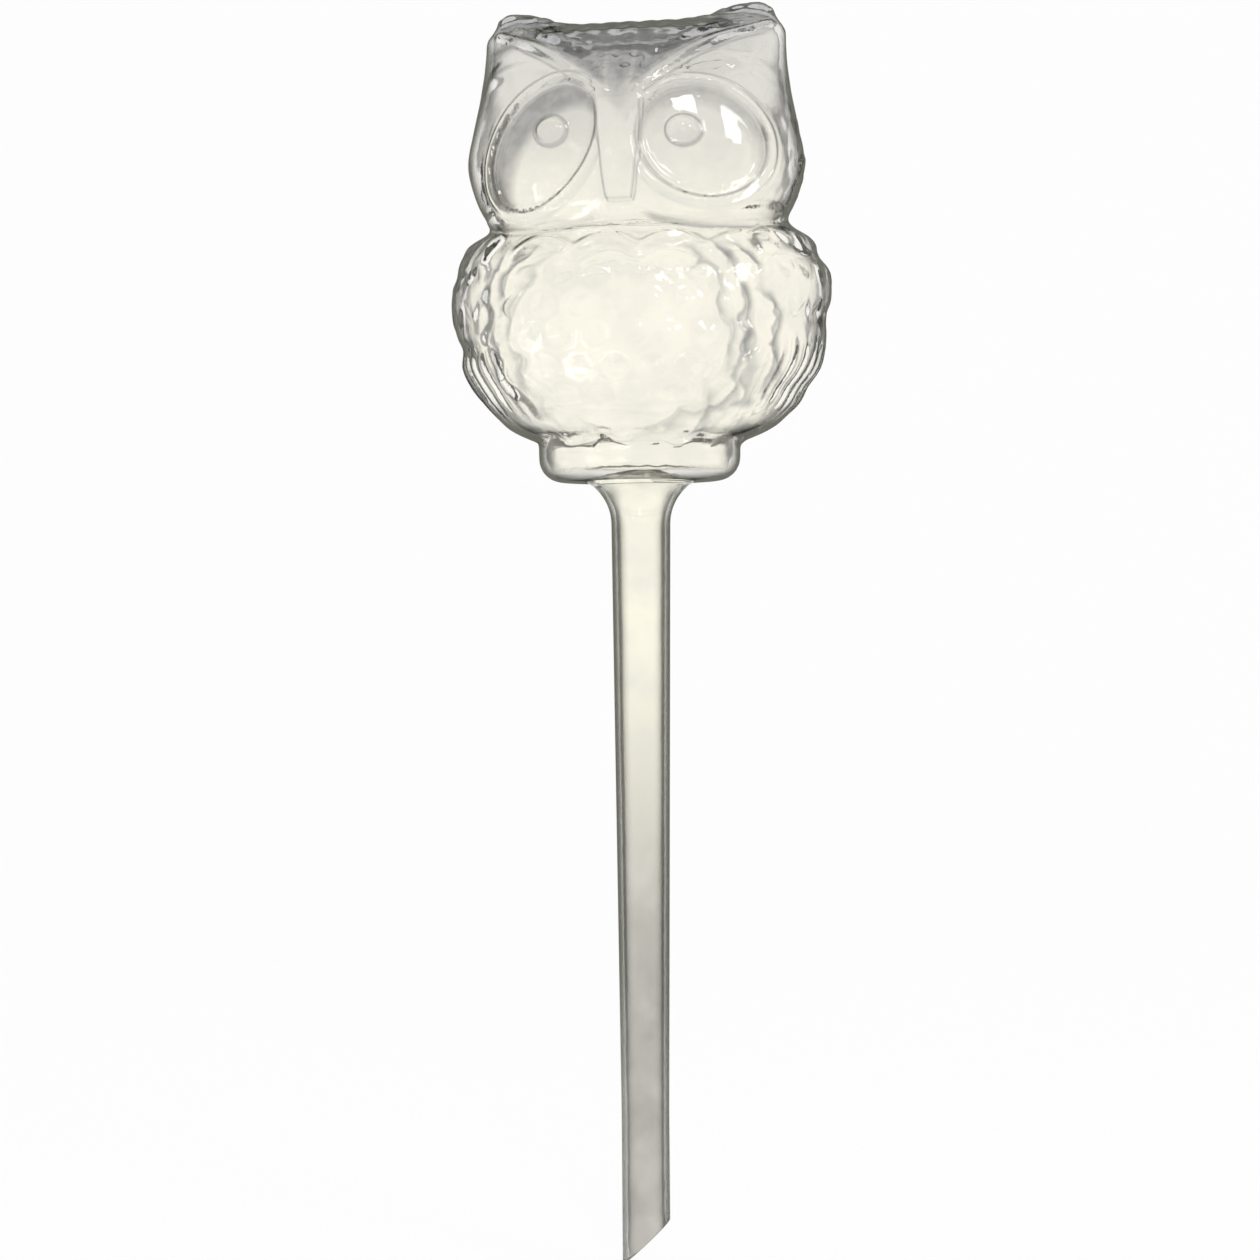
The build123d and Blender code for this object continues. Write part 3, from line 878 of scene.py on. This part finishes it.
def feather_tree():
    """Tree that raises rows of feathers on a skin, along its own outward direction"""
    lengths = FEATHER_LENGTHS + ("Direction",)
    group, tree, values = geometry_tree("feather_relief", lengths, FEATHER_COUNTS)
    position = tree.node("GeometryNodeInputPosition")
    normal = tree.node("GeometryNodeInputNormal")
    wing = tree.node("GeometryNodeInputNamedAttribute", {"data_type": "FLOAT"}, {"Name": "wing"})
    x, y, z = tree.axes(position)
    depth = y - settings("spike_owl").parting
    width_over_depth, girth_radius = 1.45, 0.0415
    round_way = (depth * width_over_depth).math("ARCTAN2", x.size()) * girth_radius
    tiles = []
    for parity in (0.0, 0.5):
        across = (round_way / values["Tier Pitch"] + parity + 20.0).part() - 0.5
        row = (0.0560 - z) / (values["Tier Step"] * 2.0) + parity + 4.0
        tile = (row + across * across * 0.9).part()
        tiles.append(tile * tile.fall(0.72, 1.0) * (1.0 - across * across * 0.8))
    raised = (largest(tiles) - 0.45).math("MAXIMUM", 0.0) * 1.8
    tiers = raised * z.band(*TIER_SPAN) * wing * values["Tier Depth"]
    bend = (z * 420.0).math("SINE") * 0.12
    quill = ((round_way / values["Quill Pitch"] + bend) * math.pi).math("SINE").size()
    quills = quill ** 0.6 * z.band(*QUILL_SPAN) * wing * values["Quill Depth"]
    across, up = staggered(x, z, values["Breast Pitch"], 0.85)
    up = up - 0.5
    lump = (1.0 - (across * across + up * up) * 4.0).math("MAXIMUM", 0.0)
    breast = z.band(*BREAST_SPAN) * (1.0 - wing)
    lumps = lump * lump * breast * values["Breast Depth"]
    across, up = staggered(x, z, values["Crown Pitch"], 1.0)
    tuft = (up - across * across * 2.0).size().math("SQRT")
    above_brows = (z - x.size() * 0.62).ramp(0.0830, 0.0860)
    behind = depth.ramp(0.0020, 0.0080) * z.ramp(0.0600, 0.0660)
    rough = tree.noise(position, 330.0, 3.0, 0.6) + 0.4
    crown = largest((above_brows, behind)) * tuft * rough * values["Crown Depth"]
    seeded = tree.moved(position, tree.vector(values["Seed"], 0.0, 0.0))
    uneven = (tree.noise(seeded, 95.0) - 0.5) * 0.0004 * z.ramp(0.009, 0.014)
    height = (tiers + quills + lumps + crown + uneven) * values["Direction"]
    inputs = {0: normal, "Scale": height}
    offset = tree.node("ShaderNodeVectorMath", {"operation": "SCALE"}, inputs)
    inputs = {"Geometry": values["Geometry"], "Offset": offset}
    feathered = tree.node("GeometryNodeSetPosition", inputs=inputs)
    place = tree.node("GeometryNodeInputPosition")
    inputs = {"Value": place, "Iterations": 1, "Weight": 0.6}
    place = tree.node("GeometryNodeBlurAttribute", {"data_type": "FLOAT_VECTOR"}, inputs)
    inputs = {"Geometry": feathered, "Position": place}
    smooth = tree.node("GeometryNodeSetPosition", inputs=inputs)
    end_tree(tree, smooth, values["Material"])
    return group


STEM_LENGTHS = (
    "Plug Height", "Collar Radius", "Collar Height", "Top Radius", "End Radius",
    "Wall", "Taper Length", "Stem Length", "Cut Angle", "Cut Turn",
)
STEM_COUNTS = ("Rows", "Columns")
MERGE_DISTANCE = 0.000004


def stem_tree():
    """Tree that wraps a grid round the stem's axis, down its outside and up its bore"""
    group, tree, values = geometry_tree("hollow_stem", STEM_LENGTHS, STEM_COUNTS)
    collar, wall = values["Collar Height"], values["Wall"]
    top_radius, end_radius = values["Top Radius"], values["End Radius"]
    inputs = {
        "Size X": 1.0, "Size Y": 1.0,
        "Vertices X": values["Columns"] + 1.0, "Vertices Y": values["Rows"] * 2.0,
    }
    grid = tree.node("GeometryNodeMeshGrid", inputs=inputs)
    u, v, _ = tree.axes(tree.node("GeometryNodeInputPosition"))
    turn = (u + 0.5) * math.tau
    row = ((v + 0.5) * (values["Rows"] * 2.0 - 1.0)).math("ROUND")
    inner = row.math("GREATER_THAN", values["Rows"] - 0.5)
    last_row = values["Rows"] - 1.0
    inner_share = (values["Rows"] * 2.0 - 1.0 - row) / last_row
    way = row / last_row * (1.0 - inner) + inner_share * inner
    way = way * way * 0.85 + way * 0.15
    lean = (turn - values["Cut Turn"]).math("COSINE") * (end_radius - wall * inner) + end_radius
    end_z = lean * values["Cut Angle"].math("TANGENT") - values["Stem Length"]
    top_z = values["Plug Height"]
    z = top_z - (top_z - end_z) * way
    taper_share = (-z - collar) / (values["Taper Length"] - collar)
    taper_share = taper_share.math("MAXIMUM", 0.0).math("MINIMUM", 1.0)
    taper = top_radius - (top_radius - end_radius) * taper_share
    spread = values["Collar Radius"] - top_radius
    flare_radius = (collar ** 2.0 + spread * spread) / (spread * 2.0)
    rise = (z + collar).math("MAXIMUM", 0.0).math("MINIMUM", collar)
    flare = flare_radius - (flare_radius * flare_radius - rise * rise).math("SQRT")
    radius = taper + flare - wall * inner
    place = tree.vector(radius * turn.math("COSINE"), radius * turn.math("SINE"), z)
    wrapped = tree.node("GeometryNodeSetPosition", inputs={"Geometry": grid, "Position": place})
    inputs = {"Geometry": wrapped, "Distance": MERGE_DISTANCE}
    closed = tree.node("GeometryNodeMergeByDistance", inputs=inputs)
    end_tree(tree, closed, values["Material"])
    return group


def fill(node, values):
    """Sets a node's plain inputs by name"""
    for name, value in values.items():
        node.inputs[name].default_value = value


def seen_straight(tree):
    """1 where the camera, a gloss or the clear plastic sees a surface straight"""
    outputs = tree.tree.nodes.new("ShaderNodeLightPath").outputs
    camera = Value(tree, outputs["Is Camera Ray"])
    glossy = Value(tree, outputs["Is Glossy Ray"])
    clear = Value(tree, outputs["Is Transmission Ray"])
    return (camera + glossy + clear).math("MINIMUM", 1.0)


def clear_plastic(name, colours, stops, edges, face=None):
    """Clear moulded plastic whose tint follows the height, with painted shade at its edges and, on
    the owl, over the crown and in the face's creases, and unevenness
    """
    material = bpy.data.materials.new(name)
    material.use_nodes = True
    tree = Tree(material.node_tree)
    shader = tree.find("BSDF_PRINCIPLED")
    fill(shader, {"Transmission Weight": 1.0, "IOR": colours.ior})
    position = tree.node("ShaderNodeTexCoord", output="Object")
    tint = height_tint(tree, position, stops)
    if face:
        tint = painted_shade_tint(tree, position, tint, colours, face)
        tint = painted_crease_shade(tree, position, tint, colours, face)
    tree.feed(shader.inputs["Base Color"], tint)
    scuff = tree.noise(position, 210.0, 4.0, 0.65).ramp(0.52, 0.80)
    tree.feed(shader.inputs["Roughness"], scuff * 0.05 + colours.roughness)
    waves = tree.noise(position, 90.0) + tree.noise(position, 420.0) * 0.12
    inputs = {"Strength": 0.30, "Distance": 0.0006, "Height": waves}
    tree.feed(shader.inputs["Normal"], tree.node("ShaderNodeBump", inputs=inputs))
    # Dark clear shader that the grazing share mixes in, as painted shade along the outlines
    edge = tree.tree.nodes.new("ShaderNodeBsdfPrincipled")
    fill(edge, {
        "Base Color": (*colours.edge_shade_tint, 1.0), "Transmission Weight": 1.0, "IOR": 1.0,
        "Roughness": colours.roughness, "Specular IOR Level": 0.0,
    })
    grazing = edge_shade_share(tree, position, colours, edges, face)
    tree.surface(grazing, Value(tree, shader.outputs[0]), Value(tree, edge.outputs[0]))
    return material


def edge_shade_share(tree, position, colours, edges, face):
    """How far the painted edge shade takes over at grazing angles, more on the plinth's sides and
    less on its floor and on the stem's flare
    """
    facing = tree.node("ShaderNodeLayerWeight", inputs={"Blend": 0.5}, output="Facing")
    x, y, z = tree.axes(position)
    # More painted edge shade on the plinth's sides, less on its floor and on the stem's flare
    plinth = z.band(-0.0005, 0.0010, 0.0085, 0.0140)
    flare = z.band(-0.0110, -0.0040, -0.0005, 0.0010)
    owl = settings("spike_owl")
    across, along = x / (owl.plinth_width / 2), y / (owl.plinth_depth / 2)
    oval = (across * across + along * along).math("SQRT")
    floor = oval.fall(0.84, 0.92) * z.band(0.0006, 0.0012, 0.0045, 0.0060)
    turned = facing + plinth * (1.0 - floor) * 0.10 - flare * 0.14
    grazing = turned.ramp(*edges) * colours.edge_shade_share * (1.0 - floor * 0.88)
    if face:
        return grazing
    # On the stem, less painted edge shade near the tip and at its top
    near_tip = z.fall(-0.1400, -0.1000) * (0.36 - x.ramp(-0.0030, 0.0030) * 0.18)
    return grazing * (1.0 - z.ramp(-0.0034, -0.0008) * 0.85) * (1.0 - near_tip)


# Colour of the faint clouds in the plastic
CLOUD_TINT = (0.86, 0.855, 0.82, 1.0)


def height_tint(tree, position, stops):
    """Tint between stops of a height and a colour, with faint clouds"""
    _, _, z = tree.axes(position)
    tint = (*stops[0][1], 1.0)
    for lower, upper in zip(stops, stops[1:]):
        way = (z - lower[0]) / (upper[0] - lower[0])
        tint = tree.mix(way.ramp(0.0, 1.0), tint, (*upper[1], 1.0))
    cloud = tree.noise(position, 95.0).ramp(0.40, 0.66)
    return tree.mix(cloud * 0.45, tint, CLOUD_TINT)


def face_axes(tree, position, face):
    """Distance from the face's middle, height, depth, hand and plain side of a place"""
    x, y, z = tree.axes(position)
    rise = z - face.eye_z
    side = x * math.cos(face.tilt) + rise * math.sin(face.tilt)
    height = rise * math.cos(face.tilt) - x * math.sin(face.tilt) + face.eye_z
    shifted = side - face.shift
    hand = shifted.ramp(-0.0010, 0.0010) * 2.0 - 1.0
    return shifted.size(), height, y, hand, side.size()


def curve(side, line):
    """Height of a curved line of the face at a distance from the face's middle"""
    middle, slope, bend = line
    return side * slope + side * side * bend + middle


def painted_shade_tint(tree, position, tint, colours, face):
    """The tint with painted shade over the crown above the brows, a painted shadow along the upper
    edge inside each eye and a faint painted shade over the upper part of each eye
    """
    side, z, y, hand, _ = face_axes(tree, position, face)
    # Painted shade over the crown and the ears, patchy and fading towards the back
    over = z - curve(side, BROW_LINE)
    ears = over.ramp(0.0005, 0.0022) * side.ramp(0.0010, 0.0040)
    above = largest((ears, over.ramp(-0.0040, 0.0085) * side.fall(0.0020, 0.0050)))
    cloud = tree.noise(position, 420.0, 4.0, 0.6).ramp(0.30, 0.72) * 0.45 + 0.62
    fade = 1.0 - y.ramp(-0.006, 0.006) * 0.85
    crown = (*colours.painted_shade_tint, 1.0)
    tint = tree.mix(above * cloud * fade * colours.crown_shade_share, tint, crown)
    # Painted shadow along the upper edge inside each eye, and a faint painted shade over the upper
    # eye, both stronger in one eye
    across = side - face.eye_x
    rise = z - face.eye_z
    within = eye_distance(face, across, rise, hand).fall(-0.0006, 0.0) * y.fall(-0.012, -0.004)
    inward = across - hand * 0.0010 + 0.0020
    upward = rise - hand * 0.0008 + 0.0037
    lower = eye_distance(face, inward, upward, hand)
    cloudy = tree.noise(position, 260.0, 3.0, 0.6).ramp(0.30, 0.70) * 0.35 + 0.80
    socket_shadow = lower.ramp(-0.0030, 0.0016) * (0.66 - hand * 0.18) * cloudy
    upper_eye_shade = rise.ramp(-0.0080, 0.0050) * (0.11 - hand * 0.06)
    return tree.mix(largest((socket_shadow, upper_eye_shade)) * within, tint, crown)


# Rings of painted shade along the feather edges round the breast: their middle's height, half width
# and half height, and the size and strength of each ring
RING_HEIGHT = 0.0310
RING_SIZE = (0.0275, 0.0250)
RINGS = ((0.82, 0.75), (0.98, 1.30), (1.13, 1.30))


def feather_edge_shade(tree, position):
    """Broken scalloped painted shade along the feather edges that ring the breast"""
    x, _, z = tree.axes(position)
    rise = z - RING_HEIGHT
    turn = rise.math("ARCTAN2", x)
    across, up = x / RING_SIZE[0], rise / RING_SIZE[1]
    out = (across * across + up * up).math("SQRT")
    shades = []
    for place, strength in RINGS:
        moved = tree.moved(position, (place, 0.0, place))
        wander = (tree.noise(moved, 120.0) - 0.5) * 0.28
        lobes = (turn * 8.0 + place * 9.0).math("SINE").size() * 0.042
        past = out + wander - lobes - place
        broken = tree.noise(moved, 85.0).ramp(0.33, 0.50)
        shades.append(past.band(-0.018, 0.004, 0.004, 0.080) * broken * strength)
    return largest(shades) * z.band(*SHADE_SPAN)


def painted_crease_shade(tree, position, tint, colours, face):
    """The tint with thin painted shade along the creases round the eyes, pupils, beak, brows and
    chin, along the feather edges and along the owl's lowest edge
    """
    side, z, y, hand, plain_side = face_axes(tree, position, face)
    rise = z - face.eye_z
    eye = eye_distance(face, side - face.eye_x, rise, hand)
    beak_way = (z - face.beak_tip_z) / (face.beak_top_z - face.beak_tip_z)
    half_beak = beak_way.math("MAXIMUM", 0.0) ** 0.7 * (face.beak_top - face.beak_tip)
    beside = side - (half_beak + face.beak_tip)
    on_beak = z.band(face.beak_tip_z - 0.0003, face.beak_tip_z, 0.079, 0.083)
    past_beak = beside.ramp(-0.0001, 0.0005) * (rise.ramp(-0.0060, 0.0030) * 0.75 + 0.25)
    on_chin = side.band(0.004, 0.007, 0.025, 0.030)
    # Painted shade along the face's creases and the feather edges
    creases = largest((
        (eye - 0.0001).line(0.0005) * (1.0 - rise.ramp(0.0, 0.0070) * 0.6),
        (eye - face.rim_width - 0.0004).line(0.0005) * 0.8 * past_beak,
        pupil_distance(face, plain_side, z, hand).line(0.0006),
        beside.line(0.0005) * on_beak,
        (z - face.beak_tip_z).line(0.0004) * side.fall(0.0022, 0.0030) * 0.3,
        (z - curve(side, BROW_LINE) + 0.0019).line(0.0006) * 0.6 * side.ramp(0.004, 0.008),
        (z - curve(side, CHIN_LINE)).line(0.0010) * on_chin * (hand * 0.25 + 0.75),
        feather_edge_shade(tree, position),
    ))
    _, _, height = tree.axes(position)
    # Painted shade along the owl's lowest edge
    under = height.fall(0.0001, 0.0009) * 0.8
    creases = largest((creases * y.fall(-0.014, -0.006), under))
    return tree.mix(creases * colours.crease_shade_share, tint, (*colours.painted_shade_tint, 1.0))


def add_object(name, data):
    """A new object of the scene, at the origin"""
    obj = bpy.data.objects.new(name, data)
    bpy.context.scene.collection.objects.link(obj)
    return obj


def mesh_object(name, points, faces, material):
    """An object at the origin from points and faces, smooth shaded"""
    mesh = bpy.data.meshes.new(name)
    mesh.vertices.add(len(points))
    mesh.vertices.foreach_set("co", np.asarray(points, np.float32).ravel())
    mesh.loops.add(faces.size)
    mesh.loops.foreach_set("vertex_index", faces.astype(np.int32).ravel())
    mesh.polygons.add(len(faces))
    starts = np.arange(0, faces.size, faces.shape[1], dtype=np.int32)
    mesh.polygons.foreach_set("loop_start", starts)
    mesh.update(calc_edges=True)
    mesh.validate()
    mesh.materials.append(material)
    mesh.shade_smooth()
    return add_object(name, mesh)


def finish_piece(obj, node):
    """Attaches a piece to its body and hides the CAD part of the node that it stands for"""
    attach(obj, BODY)
    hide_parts(node)


def owl_skin(name, material, cell, wall, softness, share_kept):
    """One smooth skin of the owl, drawn in by a wall, with its face and feathers"""
    owl = settings("spike_owl")
    face = settings("spike_face")
    feathers = settings("spike_feathers")
    field, first = owl_field(owl, cell)
    field = field + wall
    points, faces = skin(field, first, cell)
    points, outward = settle(points, field, first, cell)
    front = ramp(owl.parting - points[:, 1], 0.001, 0.007)
    height = face_relief(points, front, face, softness, share_kept)
    wing = wing_share(points, softness)
    height += body_relief(points, wing, feathers, owl.parting, softness) * share_kept
    points = points + outward * height[:, None]
    obj = mesh_object(name, points, faces, material)
    obj.data.attributes.new("wing", "FLOAT", "POINT").data.foreach_set("value", wing)
    group = bpy.data.node_groups.get("feather_relief") or feather_tree()
    values = tree_values(feathers, FEATHER_LENGTHS + FEATHER_COUNTS)
    apply_tree(obj, group, {**values, "Direction": share_kept, "Material": material})
    return obj


HOLE_SIDES = 128
HOLE_OVERRUN = 0.0008


def cut_floor_hole(obj, owl):
    """Cuts the round hole through the plinth's floor"""
    depth = 2.5 * owl.plinth_edge
    shape = bmesh.new()
    sizes = {"radius1": owl.hole, "radius2": owl.hole, "depth": depth}
    bmesh.ops.create_cone(shape, cap_ends=True, segments=HOLE_SIDES, **sizes)
    mesh = bpy.data.meshes.new("drill")
    shape.to_mesh(mesh)
    shape.free()
    drill = add_object("drill", mesh)
    drill.location.z = owl.wall + HOLE_OVERRUN - depth / 2
    modifier = obj.modifiers.new("Hole", "BOOLEAN")
    modifier.object = drill
    modifier.operation = "DIFFERENCE"
    modifier.solver = "EXACT"
    take_result(obj, modifier)
    bpy.data.objects.remove(drill)


def fit_in_box(obj, low, high):
    """Draws any point that passes the box back onto it"""
    vertices = obj.data.vertices
    points = np.empty(len(vertices) * 3, np.float32)
    vertices.foreach_get("co", points)
    points = np.clip(points.reshape(-1, 3), np.array(low), np.array(high))
    vertices.foreach_set("co", points.astype(np.float32).ravel())
    obj.data.update()


class SPIKE_OT_owl(bpy.types.Operator):
    """Make the clear owl reservoir"""

    bl_idname = "spike.make_owl"
    bl_label = "Owl Reservoir"

    def execute(self, context):
        owl = settings("spike_owl")
        face = settings("spike_face")
        colours = settings("spike_colours")
        stops = ((0.048, colours.belly_tint), (0.104, colours.head_tint))
        edges = (colours.owl_edge_start, colours.owl_edge_end)
        material = clear_plastic("clear_owl_plastic", colours, stops, edges, face)
        outer = owl_skin("clear_owl", material, owl.outer_cell, 0.0, 1.0, 1.0)
        room = (owl.inner_cell, owl.wall, owl.inner_softness, owl.inner_relief)
        inner = owl_skin("owl_room", material, *room)
        fit_in_box(outer, *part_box(OWL_NODE))
        inner.data.flip_normals()
        joined = bmesh.new()
        joined.from_mesh(outer.data)
        joined.from_mesh(inner.data)
        joined.to_mesh(outer.data)
        joined.free()
        bpy.data.objects.remove(inner)
        cut_floor_hole(outer, owl)
        outer.data.name = "clear_owl"
        finish_piece(outer, OWL_NODE)
        return {"FINISHED"}


class SPIKE_OT_stem(bpy.types.Operator):
    """Make the clear hollow stem"""

    bl_idname = "spike.make_stem"
    bl_label = "Watering Stem"

    def execute(self, context):
        sizes = settings("spike_stem")
        colours = settings("spike_colours")
        stops = ((-0.028, colours.stem_tint), (-0.125, colours.end_tint))
        edges = (colours.stem_edge_start, colours.stem_edge_end)
        material = clear_plastic("clear_stem_plastic", colours, stops, edges)
        mesh = bpy.data.meshes.new("stem_start")
        mesh.from_pydata([(0.0, 0.0, 0.0)], [], [])
        obj = add_object("clear_stem", mesh)
        values = tree_values(sizes, STEM_LENGTHS + STEM_COUNTS)
        apply_tree(obj, stem_tree(), {**values, "Material": material})
        self.close_ends(obj)
        bevel = obj.modifiers.new("Edge", "BEVEL")
        bevel.width = sizes.rounding
        bevel.segments = 3
        bevel.limit_method = "ANGLE"
        bevel.angle_limit = math.radians(40)
        take_result(obj, bevel)
        obj.data.shade_smooth()
        obj.data.name = "clear_stem"
        finish_piece(obj, STEM_NODE)
        return {"FINISHED"}

    @staticmethod
    def close_ends(obj):
        """Joins the top edges of both walls and turns every face outward"""
        shape = bmesh.new()
        shape.from_mesh(obj.data)
        open_edges = [edge for edge in shape.edges if edge.is_boundary]
        if open_edges:
            bmesh.ops.bridge_loops(shape, edges=open_edges)
        bmesh.ops.recalc_face_normals(shape, faces=shape.faces)
        shape.to_mesh(obj.data)
        shape.free()


# Places of the lamps, the point that they face, and plain white
KEY_PLACE = (0.29, -0.89, 0.50)
SIDE_PLACE = (0.62, -0.48, 0.36)
LAMP_AIM = (0.0, 0.0, 0.04)
WHITE = (1.0, 1.0, 1.0, 1.0)


class SPIKE_OT_studio(bpy.types.Operator):
    """Make the pale floor, the lamps, the even light and the camera"""

    bl_idname = "spike.make_studio"
    bl_label = "Studio"

    def execute(self, context):
        sizes = settings("spike_studio")
        stem = settings("spike_stem")
        scene = context.scene
        scene.view_settings.view_transform = "Standard"
        self.make_floor(sizes, stem)
        self.make_world(scene, sizes)
        self.make_lamp("key_lamp", KEY_PLACE, sizes.lamp_size, sizes.key_power)
        self.make_lamp("side_lamp", SIDE_PLACE, sizes.lamp_size, sizes.side_power)
        self.make_camera(scene, sizes)
        return {"FINISHED"}

    @staticmethod
    def make_floor(sizes, stem):
        """Pale floor just under the tip, which bends up into a backdrop behind the owl"""
        half = sizes.floor_size / 2
        z = -stem.stem_length - sizes.floor_gap
        bend = sizes.floor_bend
        start = sizes.wall_place - bend
        profile = [(-half, z)]
        for turn in np.linspace(0.0, math.pi / 2, 25):
            profile.append((start + bend * math.sin(turn), z + bend - bend * math.cos(turn)))
        profile.append((sizes.wall_place, z + half))
        corners = [(side * half, y, height) for y, height in profile for side in (-1, 1)]
        strips = [(2 * i, 2 * i + 1, 2 * i + 3, 2 * i + 2) for i in range(len(profile) - 1)]
        mesh = bpy.data.meshes.new("studio_floor")
        mesh.from_pydata(corners, [], strips)
        mesh.shade_smooth()
        material = bpy.data.materials.new("pale_floor")
        material.use_nodes = True
        tree = Tree(material.node_tree)
        shader = tree.find("BSDF_PRINCIPLED")
        fill(shader, {"Base Color": (0.9, 0.9, 0.9, 1.0), "Roughness": 0.9})
        white = tree.node("ShaderNodeEmission", inputs={"Color": WHITE, "Strength": 1.0})
        tree.surface(seen_straight(tree) * 0.92, Value(tree, shader.outputs[0]), white)
        mesh.materials.append(material)
        floor = add_object("studio_floor", mesh)

    @staticmethod
    def make_world(scene, sizes):
        """Even light, white where the camera or the clear plastic sees it straight"""
        world = bpy.data.worlds.new("studio_light")
        world.use_nodes = True
        scene.world = world
        tree = Tree(world.node_tree)
        background = tree.find("BACKGROUND")
        strength = seen_straight(tree) * (1.0 - sizes.world_strength) + sizes.world_strength
        tree.feed(background.inputs["Strength"], strength)
        fill(background, {"Color": WHITE})

    @staticmethod
    def make_lamp(name, place, size, power):
        """Soft square lamp turned towards the owl"""
        lamp = bpy.data.lights.new(name, "AREA")
        lamp.size = size
        lamp.energy = power
        obj = add_object(name, lamp)
        obj.location = place
        aim = Vector(LAMP_AIM) - Vector(place)
        obj.rotation_euler = aim.to_track_quat("-Z", "Y").to_euler()

    @staticmethod
    def make_camera(scene, sizes):
        """Camera at the photograph's viewing angle"""
        camera = bpy.data.cameras.new("camera")
        camera.sensor_width = 36.0
        camera.lens = camera.sensor_width * sizes.camera_distance / sizes.view_width
        turn = sizes.camera_turn
        side = sizes.camera_side
        x = sizes.camera_distance * math.sin(turn) + side * math.cos(turn)
        y = -sizes.camera_distance * math.cos(turn) + side * math.sin(turn)
        obj = add_object("camera", camera)
        obj.location = (x, y, sizes.camera_height)
        upright = Euler((math.pi / 2, 0.0, turn)).to_matrix()
        roll = Euler((0.0, 0.0, -sizes.camera_roll)).to_matrix()
        obj.rotation_euler = (upright @ roll).to_euler()
        scene.camera = obj


class SPIKE_PT_panel(bpy.types.Panel):
    """Lists the watering spike's makers and sizes"""

    bl_idname = "SPIKE_PT_panel"
    bl_label = "Watering Spike"
    bl_space_type = "VIEW_3D"
    bl_region_type = "UI"
    bl_category = "Watering Spike"

    def draw(self, context):
        layout = self.layout
        for maker in OPERATORS:
            layout.operator(maker.bl_idname)
        for name, group in GROUPS.items():
            box = layout.box()
            box.label(text=group.__doc__)
            for key in group.__annotations__:
                box.prop(getattr(context.scene, name), key)


OPERATORS = (SPIKE_OT_owl, SPIKE_OT_stem, SPIKE_OT_studio)


def register():
    """Registers the setting groups, the makers and the panel"""
    for name, group in GROUPS.items():
        bpy.utils.register_class(group)
        setattr(bpy.types.Scene, name, PointerProperty(type=group))
    for maker in OPERATORS:
        bpy.utils.register_class(maker)
    bpy.utils.register_class(SPIKE_PT_panel)


def unregister():
    """Takes the panel, the makers and the setting groups away again"""
    bpy.utils.unregister_class(SPIKE_PT_panel)
    for maker in reversed(OPERATORS):
        bpy.utils.unregister_class(maker)
    for name, group in GROUPS.items():
        delattr(bpy.types.Scene, name)
        bpy.utils.unregister_class(group)


def main():
    """Makes every piece and the studio"""
    register()
    bpy.ops.spike.make_owl()
    bpy.ops.spike.make_stem()
    bpy.ops.spike.make_studio()


if __name__ == "__main__":
    main()
